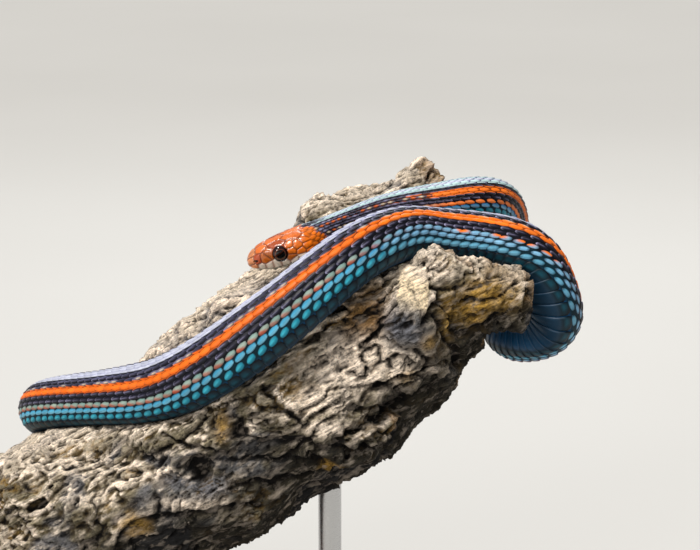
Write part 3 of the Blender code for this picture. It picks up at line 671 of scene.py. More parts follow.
def make_skin(route, surface):
    """One closed skin from snout to tail tip, fine enough on the head to carry its shields."""
    origin, axes = head_axes(route)
    head_lengths = np.arange(0.05, HEAD_SKIN_END + HEAD_STEP / 2, HEAD_STEP)
    count = round((TOTAL_LENGTH - 0.4 - HEAD_SKIN_END) / BODY_STEP)
    body_lengths = np.linspace(HEAD_SKIN_END, TOTAL_LENGTH - 0.4, count + 1)[1:]

    head_shares = np.linspace(-1.0, 1.0, HEAD_COLUMNS + 1)[:-1]
    length, share = (v.ravel() for v in np.meshgrid(head_lengths, head_shares, indexing="ij"))
    depth = HEAD_SKIN_DEPTH * (1 - ease(length, 19, 22)) + coat_depth(length) * ease(length, 19, 22)
    outer = surface.place(length, share, np.zeros_like(length))
    lift, tints = head_form((outer - origin) @ axes.T, length)
    shown = 1 - ease(length, SCALES_FROM - 0.4, SCALES_FROM + 0.8)
    tints = blend(skin_tints(length, share), tints, shown)
    head = surface.place(length, share, np.minimum(lift * shown - depth, -0.03))
    tip = ease(length, 0.0, 0.6)[:, None]
    centre = surface.points[0].mean(axis=0)
    head = np.where(length[:, None] < 0.6, centre + (head - centre) * (0.55 + 0.45 * tip), head)

    body_shares = np.linspace(-1.0, 1.0, BODY_COLUMNS + 1)[:-1]
    length_b, share_b = (v.ravel() for v in np.meshgrid(body_lengths, body_shares, indexing="ij"))
    body = surface.place(length_b, share_b, -coat_depth(length_b))
    belly = ease(np.abs(share_b), SCUTE_EDGE - 0.03, SCUTE_EDGE + 0.03)
    body_tints = blend(skin_tints(length_b, share_b), SNAKE["belly"] * 0.5, belly)

    points = np.vstack([head, body, [head[:HEAD_COLUMNS].mean(axis=0)],
                        [body[-BODY_COLUMNS:].mean(axis=0)]])
    all_tints = np.vstack([tints, body_tints, [SNAKE["snout"]], [SNAKE["gap"]]])
    faces = []
    maps = []

    def head_map(i, k):
        return 0.01 + 0.98 * i / (len(head_lengths) - 1), 0.62 + 0.37 * k / HEAD_COLUMNS

    def body_map(i, k, strip):
        along = (i * 6 / count) - strip
        return 0.01 + 0.98 * along, (strip + 0.04 + 0.92 * k / BODY_COLUMNS) / 6 * 0.6

    for i in range(len(head_lengths) - 1):
        for k in range(HEAD_COLUMNS):
            n = (k + 1) % HEAD_COLUMNS
            row = i * HEAD_COLUMNS
            faces.append((row + k, row + n, row + HEAD_COLUMNS + n, row + HEAD_COLUMNS + k))
            maps.extend([head_map(i, k), head_map(i, k + 1), head_map(i + 1, k + 1),
                         head_map(i + 1, k)])
    ratio = HEAD_COLUMNS // BODY_COLUMNS
    last = (len(head_lengths) - 1) * HEAD_COLUMNS
    start = len(head)
    for k in range(BODY_COLUMNS):
        n = (k + 1) % BODY_COLUMNS
        edge = [last + (k * ratio + r) % HEAD_COLUMNS for r in range(ratio + 1)]
        faces.append((*edge, start + n, start + k))
        maps.extend([body_map(0, k + r / ratio, 0) for r in range(ratio + 1)])
        maps.extend([body_map(1, k + 1, 0), body_map(1, k, 0)])
    for i in range(len(body_lengths) - 1):
        strip = min(int((i + 1) * 6 / count), 5)
        for k in range(BODY_COLUMNS):
            n = (k + 1) % BODY_COLUMNS
            row = start + i * BODY_COLUMNS
            faces.append((row + k, row + n, row + BODY_COLUMNS + n, row + BODY_COLUMNS + k))
            maps.extend([body_map(i + 1, k, strip), body_map(i + 1, k + 1, strip),
                         body_map(i + 2, k + 1, strip), body_map(i + 2, k, strip)])
    snout = len(points) - 2
    for k in range(HEAD_COLUMNS):
        faces.append((snout, (k + 1) % HEAD_COLUMNS, k))
        maps.extend([head_map(0, k + 0.5), head_map(0, k + 1), head_map(0, k)])
    tail = len(points) - 1
    row = len(head) + len(body) - BODY_COLUMNS
    for k in range(BODY_COLUMNS):
        faces.append((tail, row + k, row + (k + 1) % BODY_COLUMNS))
        maps.extend([body_map(count, k + 0.5, 5), body_map(count, k, 5), body_map(count, k + 1, 5)])
    shields = tinted_material("head_skin", 0.7, (1, 1, 1), 0.12, 0.2, (0.2, 0.36),
                              specular_ior_level=0.6, coat_weight=0.6, coat_roughness=0.14)
    between = tinted_material("skin_between_scales", 0.5, (1, 1, 1), 0.05, 0.16, (0.55, 0.7),
                              specular_ior_level=0.15)
    skin = mesh_piece("snake_skin", points, faces, shields, all_tints, maps)
    skin.data.materials.append(between)
    first = np.array([face[0] for face in faces])
    places = points[first]
    on_head = (first < len(head)) & ((places - origin) @ axes[0] < SCALES_FROM)
    on_head[-HEAD_COLUMNS - BODY_COLUMNS:-BODY_COLUMNS] = True
    skin.data.polygons.foreach_set("material_index", (~on_head).astype(np.int32))
    flesh = [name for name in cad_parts
             if name.split("_")[0] in ("head", "lower", "neck", "trunk", "tail")]
    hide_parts(*flesh)


# Scales

def pitch_at(length):
    return table_at(SCALE_PITCH, length)[0]


def coat_depth(length):
    """Thickness of the coat, which is how far the skin lies inside the outer form."""
    return COAT_SHARE * pitch_at(length)


def lattice():
    """Lengths at every half step of the scales' count."""
    fine = np.arange(SCALES_FROM, TOTAL_LENGTH, 0.1)
    count = np.cumsum(0.1 / pitch_at(fine))
    ticks = np.arange(0.5, count[-1] - 0.5, 0.5)
    return np.interp(ticks, count, fine)


def row_edges(count):
    """Shares of the rows' middles and their half widths, for so many rows from the back."""
    widths = np.interp(np.linspace(0, len(ROW_WIDTHS) - 1, count), range(len(ROW_WIDTHS)),
                       ROW_WIDTHS)
    edges = np.cumsum(widths) - widths[0] / 2
    widths = widths * SCUTE_EDGE / edges[-1]
    edges = edges * SCUTE_EDGE / edges[-1]
    return edges - widths / 2, widths / 2


def plate_shape(columns, point_front, point_rear, keel, free):
    """Grid of one plate: along (-1 root, 1 tip), across, outline, height and nearness to rim."""
    along = -np.cos(np.linspace(0.0, math.pi, 9))
    along, across = (v.ravel() for v in np.meshgrid(along, columns, indexing="ij"))
    power = np.where(along < 0, point_front, point_rear)
    outline = np.maximum((1 - np.abs(along) ** power) ** (1 / power), 0.12)
    rise = 0.25 + 0.75 * ease(along, -1.0, 0.5)
    dome = 0.58 + 0.42 * (1 - across ** 2)
    ridge = keel * np.exp(-(across / 0.13) ** 2) * ease(along, -0.9, -0.4)
    height = rise * dome * (1 - keel) + ridge
    rim = np.maximum(np.abs(across), np.abs(along))
    side = np.maximum(np.abs(across) - 0.99, np.abs(along) - 0.99) > 0
    height = np.where(side, -free, height)
    return along, across, outline, height, rim


def unwrapped(length, share):
    """A place on the body's unwrap, with its length folded in strips."""
    strip = np.minimum(np.floor(length * MAP_STRIPS / TOTAL_LENGTH), MAP_STRIPS - 1)
    along = length * MAP_STRIPS / TOTAL_LENGTH - strip
    return 0.01 + 0.98 * along, (strip + 0.5 + 0.45 * share) / MAP_STRIPS


def plate_patches(length, share, along, across):
    """Each plate's small patch of the map, at its root's place on the body's unwrap."""
    u, v = unwrapped(length, share)
    u = u[:, None] + PATCH_SIZE / 2 * along
    v = v[:, None] + PATCH_SIZE / 2 * across
    return np.stack([u.ravel(), v.ravel()], axis=1)


def grid_faces(rows, columns, plates):
    """Faces of many plates, each a grid of so many rows and columns of points."""
    i, j = (v.ravel() for v in np.meshgrid(range(rows - 1), range(columns - 1), indexing="ij"))
    one = i * columns + j
    quad = np.stack([one, one + columns, one + columns + 1, one + 1], axis=1)
    return (quad[None] + (np.arange(plates) * rows * columns)[:, None, None]).reshape(-1, 4)


SCALE_COLUMNS = np.array([-1.0, -0.86, -0.5, -0.18, 0.0, 0.18, 0.5, 0.86, 1.0])


def scale_tints(row, length, seed, along, across, rim):
    """Colours of the scales. across is above 0 towards the belly."""
    edge = ease(rim, 0.6, 0.98)
    tip = ease(along, 0.45, 0.95)
    keel = np.exp(-(across / 0.16) ** 2)
    lower = ease(across, -0.5, 0.6)
    second = np.mod(seed * 7.31, 1.0)
    crest = ease(length, 150, 215) * (1 - ease(length, 275, 300))
    colours = {}

    front = ease(length, 275, 305)
    paler = 1 - 0.45 * front
    stripe = blend(SNAKE["stripe"], SNAKE["stripe_rim"], 0.65 * paler * edge)
    colours["stripe"] = blend(stripe, SNAKE["stripe_rim"],
                              0.6 * paler * second * ease(across, 0.0, 0.6))
    night = blend(SNAKE["night"], SNAKE["night_rim"], edge)
    # Painted sheen: pale keels and tips on the dark scales.
    fleck_and_sheen = np.clip(0.9 * tip * edge + 0.5 * keel * ease(along, -0.6, 0.2), 0, 1)
    colours["night"] = blend(night, SNAKE["fleck_and_sheen"], fleck_and_sheen * (0.25 + 0.75 * second))
    orange = blend(SNAKE["orange"], SNAKE["orange_lit"], 0.35 * keel + 0.3 * second)
    orange = blend(orange, SNAKE["brick"], 0.3 * front)
    colours["orange"] = blend(orange, SNAKE["orange_rim"], 0.35 * edge)
    torn = blend(colours["night"], colours["orange"],
                 ease(across + 0.35 * along - 0.6 * front, -0.3, 0.1))
    colours["torn"] = blend(torn, SNAKE["cream"], 0.75 * (second > 0.4)
                            * np.exp(-((across + 0.1) / 0.3) ** 2 - ((along + 0.15) / 0.4) ** 2))
    sage = blend(SNAKE["sage"], SNAKE["cream"], 0.12 * keel + 0.16 * second)
    warm = ease(0.75 * along + 0.6 * across, -0.2, 0.35) * (0.6 + 0.4 * second)
    sage = blend(sage, SNAKE["brick"], 0.9 * warm)
    colours["sage"] = blend(sage, SNAKE["gap"], 0.6 * edge)
    lit = np.where(crest > 0.5, 0.7 + 0.3 * second, lower)
    sky = blend(SNAKE["sky"], SNAKE["sky_lit"], lit * (1 - 0.6 * edge))
    sky = blend(sky, SNAKE["teal_lit"], 0.4 * front)
    dark_rim = ease(rim, 0.7 - 0.16 * crest, 0.97 - 0.12 * crest)
    colours["sky"] = blend(sky, SNAKE["gap"], 0.88 * dark_rim)
    glint = np.exp(-((across + 0.25) / 0.5) ** 2 - ((along - 0.2) / 0.6) ** 2)
    teal = blend(SNAKE["teal"], SNAKE["teal_lit"], 0.8 * glint)
    colours["teal"] = blend(teal, SNAKE["gap"], 0.85 * ease(rim, 0.7, 0.97))

    plan = ["stripe", "stripe", "night", "torn", "orange", "night", "night", "sage", "sky", "teal"]
    tints = np.zeros(rim.shape + (3,))
    for k, name in enumerate(plan):
        tints = np.where((row == k)[..., None], colours[name], tints)
    tints = blend(tints, colours["night"], (row == 1) * ease(across, 0.2, 0.55))
    tints = blend(tints, colours["orange"], (row == 5) * front * ease(-across, 0.45, 0.75))
    flecks = front * np.isin(row, (1, 2, 3)) * ease(-across, 0.1, 0.7) * (0.2 + 0.6 * second)
    tints = blend(tints, SNAKE["stripe_rim"], 0.8 * flecks * (row > 1))
    rear = 1 - ease(length, 100, 118)
    mint = blend(SNAKE["mint"], SNAKE["stripe_rim"], 0.8 * ease(along, 0.3, 0.9) * (0.4 + second))
    tints = blend(tints, mint, 0.85 * rear * ((row == 1) + (row == 2) * ease(-across, -0.3, 0.3)))
    tints = blend(tints, colours["night"], rear * (row == 3))
    wide = (row == 3) * ease(across, 0.1, 0.5) + (row == 5) * ease(-across, 0.2, 0.6)
    tints = blend(tints, colours["orange"], rear * ease(length + 16 * second, 64, 78) * wide)
    young = rear * (1 - ease(length, 60, 76))
    spot = np.exp(-(across / 0.45) ** 2 - ((along + 0.1) / 0.45) ** 2)
    spotted = blend(colours["night"], np.where((second > 0.45)[..., None], SNAKE["orange"],
                                               SNAKE["cream"]), 0.85 * spot * (seed > 0.25))
    tints = np.where(((young > 0.5) & (row == 4))[..., None], spotted, tints)
    tints = blend(tints, SNAKE["fleck_and_sheen"], 0.85 * young * np.isin(row, (2, 3, 5, 6)) * spot * second)
    tints = blend(tints, colours["night"], np.isin(row, (0, 1)) * (1 - ease(length, 24, 32)))
    dim = np.where((row == 7)[..., None], spotted,
                   blend(colours["night"], SNAKE["fleck_and_sheen"], 0.5 * spot))
    tints = blend(tints, dim, young * (row >= 7))
    fore = (1 - ease(length, 120, 190)) * (1 - young)
    tints = blend(tints, colours["orange"], 0.85 * fore * (row == 7))
    tints = blend(tints, colours["sky"], 0.9 * crest * (row == 7))
    for place in ACCENTS:
        near = np.exp(-((length - place) / 2.4) ** 4) * ease(-across, -0.5, 0.2)
        tints = blend(tints, colours["orange"], near * (row == 7))
    tints = blend(tints, colours["sky"], 0.6 * crest * (row == 9))
    collar = 1 - ease(length - 0.5 * row + 1.5 * seed, 21.5, 22.5)
    tints = blend(tints, SNAKE["temple"] * (1 - 0.6 * edge)[..., None], collar * (row >= 2))
    return tints * (0.86 + 0.28 * seed)[..., None]


def make_scales(surface):
    """Keeled plates in staggered rows, joined in pieces of a few rows each."""
    ticks = lattice()
    groups = {"scales_back": (0, 1), "scales_high": (2, 3), "scales_flank": (4, 5),
              "scales_side": (6, 7), "scales_low": (8,), "scales_lowest": (9,)}
    material = tinted_material("snake_scales", 0.35, (1, 1, 1), 0.05, 0.12, (0.36, 0.52),
                               specular_ior_level=0.25)
    starts = [start for start, _ in ROW_COUNTS] + [TOTAL_LENGTH]
    for name, members in groups.items():
        found = []
        for (start, count), stop in zip(ROW_COUNTS, starts[1:]):
            middles, halves = row_edges(count)
            for index in range(count):
                plan = round(index * (len(ROW_WIDTHS) - 1) / (count - 1))
                if plan not in members:
                    continue
                line = ticks[index % 2::2]
                line = line[(line >= start) & (line < stop)]
                for hand in ((1,) if index == 0 else (-1, 1)):
                    for number, length in enumerate(line):
                        found.append((length, hand * middles[index], halves[index], plan, hand))
        length, share, half, plan, hand = np.array(found).T
        rng = np.random.default_rng(len(found))
        seed = rng.random(len(found))
        low_rows = plan >= 7
        pitch = pitch_at(length)
        stretch = surface.read(surface.stretch, length, share)[:, 0]
        front = ease(length, 275, 310)
        crest = ease(length, 195, 225) * (1 - ease(length, 275, 300))
        small = np.where(low_rows, 0.6 - 0.1 * front * (plan == 9) - 0.05 * crest, 0.64)
        half_length = pitch * small / np.clip(stretch, 0.7, 1.6)
        half_share = half * np.select([plan == 9, plan == 8, low_rows],
                                      [0.98 - 0.14 * front - 0.1 * crest,
                                       1.12 - 0.1 * front - 0.12 * crest, 1.16 - 0.08 * crest],
                                      1.16)
        half_share = half_share * (1.3 - 0.3 * ease(length, 24, 30))
        shear = np.where(low_rows, 0.34, 0.16)[:, None]
        shape = plate_shape(SCALE_COLUMNS, 2.3, 1.8, 0.2, 0.3)
        along, across, outline, height, rim = (v[None, :] for v in shape)
        flip = hand[:, None]
        lengths = length[:, None] + along * half_length[:, None]
        shares = share[:, None] + flip * (across * outline + shear * along) * half_share[:, None]
        depth = coat_depth(length)[:, None]
        lift = (height - 1) * depth - 0.02 - 0.15 * depth * (rng.random((len(found), 1)))
        points = surface.place(lengths, shares, lift)
        whole = (len(found), along.shape[1])
        tints = scale_tints(*(np.broadcast_to(v, whole) for v in (
            plan[:, None], lengths, seed[:, None], along, across, rim)))
        faces = grid_faces(9, len(SCALE_COLUMNS), len(found))
        flips = np.repeat(hand > 0, 64)
        faces[flips] = faces[flips][:, ::-1]
        corner_map = plate_patches(length, share, along, across)[faces.ravel()]
        piece = mesh_piece(name, points.reshape(-1, 3), faces, material, tints.reshape(-1, 3),
                           corner_map)


def make_scutes(surface):
    """Wide plates across the belly, and pairs of them under the tail."""
    ticks = lattice()[1::2]
    columns = np.array([-1.0, -0.97, *np.linspace(-0.9, 0.9, 19), 0.97, 1.0])
    shape = plate_shape(columns, 7.0, 7.0, 0.0, 0.3)
    half = 1.0 - SCUTE_EDGE
    found = []
    for length in ticks:
        if length < VENT_AT:
            found.append((length, 1.0, half * 1.04))
        else:
            found.append((length, 1.0 - half / 2, half / 2 * 1.04))
            found.append((length, -1.0 + half / 2, half / 2 * 1.04))
    length, share, half_share = np.array(found).T
    along, across, outline, height, rim = (v[None, :] for v in shape)
    stretch = surface.read(surface.stretch, length, share)[:, 0]
    half_length = pitch_at(length) * 0.56 / np.clip(stretch, 0.7, 1.6)
    lengths = length[:, None] + along * half_length[:, None]
    bend = 0.12 * pitch_at(length)[:, None] * (1 - across ** 2)
    shares = share[:, None] + across * outline * half_share[:, None]
    lift = (height - 1) * coat_depth(length)[:, None] - 0.02
    points = surface.place(np.minimum(lengths + bend, TOTAL_LENGTH), shares, lift)
    rng = np.random.default_rng(3)
    seed = rng.random((len(found), 1))
    tints = blend(SNAKE["belly"], SNAKE["scute_rim"], 0.4 * ease(np.abs(across), 0.48, 0.56))
    # Painted shade: the scutes' ends take a dark teal deepened to stand for shade, and from length 172
    # on the whole belly darkens with it as painted shade.
    shaded = np.maximum(ease(np.abs(across), 0.58, 0.7), 0.85 * ease(lengths, 172, 205))
    tints = blend(tints, SNAKE["scute"], shaded)
    tints = blend(tints, SNAKE["gap"], ease(np.abs(across), 0.87, 0.92))
    spot = np.exp(-((np.abs(across) - 0.84) / 0.06) ** 2 - ((along - 0.2) / 0.5) ** 2)
    tints = blend(tints, SNAKE["teal"], 0.4 * spot)
    tints = tints * np.ones(lengths.shape + (1,))
    tints = blend(tints, SNAKE["scute_rim"], 0.3 * ease(along, 0.7, 0.9) * (np.abs(across) < 0.9))
    tints = blend(tints, SNAKE["gap"], 0.8 * ease(rim, 0.93, 1.0))
    throat = 1 - ease(lengths, 40, 110)
    tints = blend(tints, SNAKE["chin"] * 0.8, throat * 0.7)
    tints = tints * (0.92 + 0.16 * seed)[..., None]
    faces = grid_faces(9, len(columns), len(found))
    corner_map = plate_patches(length, share, along, across)[faces.ravel()]
    material = tinted_material("snake_scutes", 0.6, (1, 1, 1), 0.03, 0.1, (0.4, 0.55),
                               specular_ior_level=0.2)
    piece = mesh_piece("belly_scutes", points.reshape(-1, 3), faces[:, ::-1], material,
                       tints.reshape(-1, 3), corner_map.reshape(-1, 4, 2)[:, ::-1].reshape(-1, 2))


# Eyes

def eye_material():
    """Black pupil, thin brown iris and dark rim, under the clear scale that covers the eye."""
    made, tree, shader = new_material("snake_eye", roughness=0.05, specular_ior_level=0.5,
                                      coat_weight=0.4, coat_roughness=0.02)
    tint = node(tree, "Attribute", {}, attribute_name="tint").outputs["Color"]
    place = node(tree, "TexCoord", {}).outputs["Object"]
    streak = node(tree, "TexNoise", {"Vector": place, "Scale": 2600.0, "Detail": 3.0}).outputs["Fac"]
    factor = spread(tree, streak, 0.3, 0.7, 0.75, 1.25)
    colour = node(tree, "VectorMath", {0: tint, "Scale": factor}, operation="SCALE").outputs[0]
    tree.links.new(colour, shader.inputs["Base Color"])
    return made


def make_eyes(route):
    """Each eye is a flattened ball that faces outward, with its parts marked in rings."""
    origin, axes = head_axes(route)
    material = eye_material()
    rings = 40
    around = 64
    polar = np.linspace(0.0, math.pi, rings + 1)[1:-1]
    turn = np.linspace(0.0, 2 * math.pi, around, endpoint=False)
    down, spin = (v.ravel() for v in np.meshgrid(polar, turn, indexing="ij"))
    for name, hand in (("eye_left", -1), ("eye_right", 1)):
        shape = np.stack([np.sin(down) * np.cos(spin), hand * np.cos(down),
                          np.sin(down) * np.sin(spin)], axis=1)
        shape = np.vstack([shape, [(0, hand, 0), (0, -hand, 0)]])
        local = shape * EYE_HALVES + (EYE_AT, hand * EYE_SIDE, EYE_RISE)
        points = origin + local @ axes
        radius = np.hypot(shape[:, 0], shape[:, 2])
        radius = np.where(shape[:, 1] * hand < 0, 1.2, radius)
        iris = paint("4a1e10")
        glow = paint("8c5238")
        angle = np.arctan2(shape[:, 2], shape[:, 0])
        streaks = 0.5 + 0.5 * np.sin(angle * 23 + 2 * np.sin(angle * 7))
        ring = blend(iris, glow, 0.5 * streaks)
        tints = blend(paint("030202"), ring, ease(radius, 0.62, 0.66))
        # Painted highlight: the iris's ring is brightened towards the rear and bottom of the eye.
        rear = 0.25 + 0.35 * ease(shape[:, 0] - shape[:, 2], 0.0, 0.8)
        tints = blend(tints, glow, rear * np.exp(-((radius - 0.65) / 0.02) ** 2))
        tints = blend(tints, paint("240a0c"), ease(radius, 0.7, 0.76))
        faces = []
        for i in range(len(polar) - 1):
            for k in range(around):
                n = (k + 1) % around
                faces.append((i * around + k, (i + 1) * around + k, (i + 1) * around + n,
                              i * around + n))
        front = len(points) - 2
        last = (len(polar) - 1) * around
        for k in range(around):
            n = (k + 1) % around
            faces.append((front, k, n))
            faces.append((front + 1, last + n, last + k))
        if hand > 0:
            faces = [face[::-1] for face in faces]
        eye = mesh_piece(name + "_ball", points, faces, material, tints)
        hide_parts(name)


# Branch

BARK = {name: paint(code) for name, code in {
    "crust": "80765f",
    "pale": "f2e0cc",
    "flake": "666870",
    "wood": "483a20",
    "crack_shade": "0c0806",
    "ochre": "a07c34",
    "hollow": "86602c",
    "patch": "f2dcb8",
}.items()}
BARK_SEED = 4
BARK_GRAIN = 0.62            # spacing of the bark's mesh
BARK_SLOPE = 29.5            # the branch's lean, in degrees
BARK_REACH = 3.4             # how far bark stands in or out of the branch's solid
BARK_SMOOTHING = 20          # rounds that part the bark's own relief from the branch's form
BARK_SHADE_FROM = 116.0      # the bark darkens below this height across the branch
BARK_SHADE_OVER = 18.0
BARK_PARTINGS = (-45.0, 8.0, 52.0)   # where the bark is parted in pieces, along X
SHELF_SPACING = 11.0         # from one of the bark's ledges to the next, across the branch
SHELF_LIP = 0.1              # share of a ledge that its overhanging lip takes

# Marks on the near side of the bark: kind, centre along X and up, half sizes, depth
BARK_MARKS = [
    ("hole", (16.9, 143.5), (3.0, 3.4), 5.0),
    ("hole", (4.2, 130.3), (3.4, 4.2), 5.0),
    ("hole", (67.3, 150.3), (3.6, 1.8), 3.0),
    ("hole", (49.2, 141.2), (1.8, 1.4), 3.0),
    ("hollow", (57.8, 180.2), (8.0, 11.0), 1.8),
    ("patch", (73.0, 188.7), (4.4, 6.4), -0.8),
    ("ochre", (11.8, 144.8), (2.6, 4.6), 0.0),
    ("ochre", (47.0, 130.7), (4.0, 2.6), 0.2),
    ("ochre", (92.6, 180.9), (5.0, 7.0), 0.2),
    ("ochre", (70.1, 160.2), (3.4, 2.6), 0.4),
    ("ochre", (76.5, 172.3), (2.6, 2.6), 0.2),
    ("ochre", (-17.4, 110.0), (5.0, 4.0), 0.2),
    ("pale", (42.9, 154.0), (8.0, 4.6), -0.6),
    ("pale", (57.0, 165.5), (18.0, 8.5), -0.4),
    ("pale", (10.2, 184.5), (9.0, 9.0), 0.0),
    ("pale", (46.7, 145.1), (8.0, 2.6), -0.3),
    ("pale", (2.3, 118.2), (12.0, 2.4), -0.4),
    ("pale", (91.0, 222.2), (12.0, 8.0), 0.0),
    ("pale", (78.0, 194.5), (9.0, 4.0), 0.0),
    ("ochre", (98.0, 186.0), (9.0, 6.0), 0.0),
    ("ochre", (84.0, 179.0), (3.0, 8.0), 0.0),
    ("flake", (69.5, 177.6), (7.0, 8.0), -0.3),
    ("flake", (5.5, 123.8), (10.0, 4.0), 0.0),
]

# Grooves of the near side: half width, depth and a route along X and up
BARK_GROOVES = [
    (1.3, 3.2, [(18.1, 141.2), (25.1, 140.2), (32.4, 139.9), (38.7, 140.8),
                (45.1, 139.2), (53.0, 137.9), (64.1, 137.9)]),
    (0.8, 1.8, [(-7.2, 140.2), (-0.9, 137.9), (5.5, 137.2), (13.4, 134.9), (18.1, 138.2)]),
    (1.3, 2.4, [(25.1, 158.2), (29.2, 153.3), (34.0, 150.0), (37.8, 146.1)]),
    (1.5, 2.8, [(14.3, 123.8), (21.3, 125.7), (27.6, 124.4),
                (34.6, 126.1), (43.5, 126.4), (52.0, 127.7)]),
    (1.1, 1.9, [(-10.4, 112.6), (-0.9, 114.6), (9.3, 115.9), (18.1, 117.9), (23.2, 116.6)]),
    (0.8, 1.5, [(13.4, 133.0), (21.3, 133.9), (30.8, 133.0), (43.5, 133.6)]),
    (1.5, 2.6, [(51.4, 142.8), (55.5, 145.1), (61.9, 146.4), (68.2, 149.7), (76.8, 154.0)]),
    (1.4, 2.2, [(62.5, 157.2), (68.2, 155.9), (69.5, 153.3)]),
    (1.3, 2.2, [(81.5, 186.8), (78.4, 180.2), (81.5, 173.6), (86.3, 166.4), (88.8, 160.5)]),
    (2.0, 2.2, [(86.3, 173.6), (91.7, 171.3), (97.4, 175.6), (102.5, 180.2)]),
    (1.0, 1.8, [(67.3, 171.3), (73.6, 169.0), (77.7, 164.5), (75.8, 159.2)]),
]


def bark_axes():
    """Directions along the branch and up across it."""
    lean = math.radians(BARK_SLOPE)
    return np.array([math.cos(lean), 0.0, math.sin(lean)]), np.array([-math.sin(lean), 0.0,
                                                                     math.cos(lean)])


def bark_noise(kind, points, spacing, drawn_out):
    """Steady noise at the points, drawn out along the branch."""
    along, up = bark_axes()
    local = np.stack([points @ along / (spacing * drawn_out), points[:, 1] / spacing,
                      points @ up / spacing], axis=1)
    if kind == "ridged":
        return np.array([noise.ridged_multi_fractal(Vector(p), 0.9, 2.1, 4, 1.0, 2.0)
                         for p in local])
    return np.array([noise.fractal(Vector(p), 0.75, 2.1, 4) for p in local])


def bark_warp(points, spacing, reach):
    """Points shifted by a slow unevenness, so that what is drawn on them wanders."""
    moves = np.array([noise.noise_vector(Vector(p / spacing)) for p in points])
    return points + moves * reach


def relaxed(points, edges, rounds):
    """Points averaged with their neighbours."""
    count = np.bincount(edges.ravel(), minlength=len(points))[:, None]
    out = points.copy()
    for _ in range(rounds):
        total = np.zeros_like(out)
        for c in range(3):
            total[:, c] = (np.bincount(edges[:, 0], out[edges[:, 1], c], len(out))
                           + np.bincount(edges[:, 1], out[edges[:, 0], c], len(out)))
        out = 0.5 * out + 0.5 * total / count
    return out


def clear_of_snake(points, route, clear):
    """Points moved out of the room that the snake takes."""
    tree = kdtree.KDTree(len(route.axis))
    for i, place in enumerate(route.axis):
        tree.insert(Vector(place), i)
    tree.balance()
    angle = np.linspace(0.0, math.pi, 49)
    point, along, back, side = route.frames(route.length)
    sizes = section_sizes(route.length)
    out = points.copy()
    for index, place in enumerate(points):
        _, i, apart = tree.find(Vector(place))
        if apart > 14.0:
            continue
        rel = place - point[i]
        x = np.dot(rel, side[i])
        z = np.dot(rel, back[i])
        across, rise = section_point(sizes[:, i], angle)
        radius = np.interp(math.atan2(abs(x), z), np.arctan2(across, rise), np.hypot(across, rise))
        reach = math.hypot(x, z)
        if reach < radius + clear:
            push = (radius + clear) / max(reach, 1e-6)
            out[index] = place + (side[i] * x + back[i] * z) * (push - 1)
    return out


def bark_material():
    """Weathered bark: the colours of its layers with fibres, grit and fine cracks over them."""
    made, tree, shader = new_material("bark", specular_ior_level=0.25)
    tint = node(tree, "Attribute", {}, attribute_name="tint").outputs["Color"]
    place = node(tree, "TexCoord", {}).outputs["Object"]
    turned = node(tree, "Mapping", {"Vector": place, "Rotation": (0.0, -math.radians(BARK_SLOPE), 0.0)},
                  vector_type="TEXTURE").outputs[0]
    drawn = node(tree, "VectorMath", {0: turned, 1: (130.0, 900.0, 900.0)},
                 operation="MULTIPLY").outputs[0]
    fibre = node(tree, "TexNoise", {"Vector": drawn, "Scale": 1.0, "Detail": 5.0,
                                    "Roughness": 0.65}).outputs["Fac"]
    grit = node(tree, "TexNoise", {"Vector": place, "Scale": 1400.0, "Detail": 4.0,
                                   "Roughness": 0.7}).outputs["Fac"]
    stretched = node(tree, "VectorMath", {0: turned, 1: (120.0, 360.0, 360.0)},
                     operation="MULTIPLY").outputs[0]
    spots = node(tree, "TexNoise", {"Vector": stretched, "Scale": 1.0, "Detail": 5.0,
                                    "Roughness": 0.6}).outputs["Fac"]
    rough = node(tree, "Math", {0: fibre, 1: fibre}, operation="ADD").outputs[0]
    both = node(tree, "Math", {0: rough, 1: grit}, operation="ADD").outputs[0]
    factor = spread(tree, both, 1.15, 1.85, 0.25, 2.0)
    colour = node(tree, "VectorMath", {0: tint, "Scale": factor}, operation="SCALE").outputs[0]
    pale = spread(tree, spots, 0.52, 0.7, 0.0, 0.35)
    mixed = node(tree, "Mix", {"Factor": pale, 6: colour, 7: (*BARK["pale"], 1.0)},
                 data_type="RGBA")
    tree.links.new(mixed.outputs[2], shader.inputs["Base Color"])
    tree.links.new(spread(tree, grit, 0.3, 0.7, 0.75, 0.98), shader.inputs["Roughness"])
    bump = node(tree, "Bump", {"Height": both, "Strength": 1.0, "Distance": 0.0008})
    tree.links.new(bump.outputs[0], shader.inputs["Normal"])
    return made


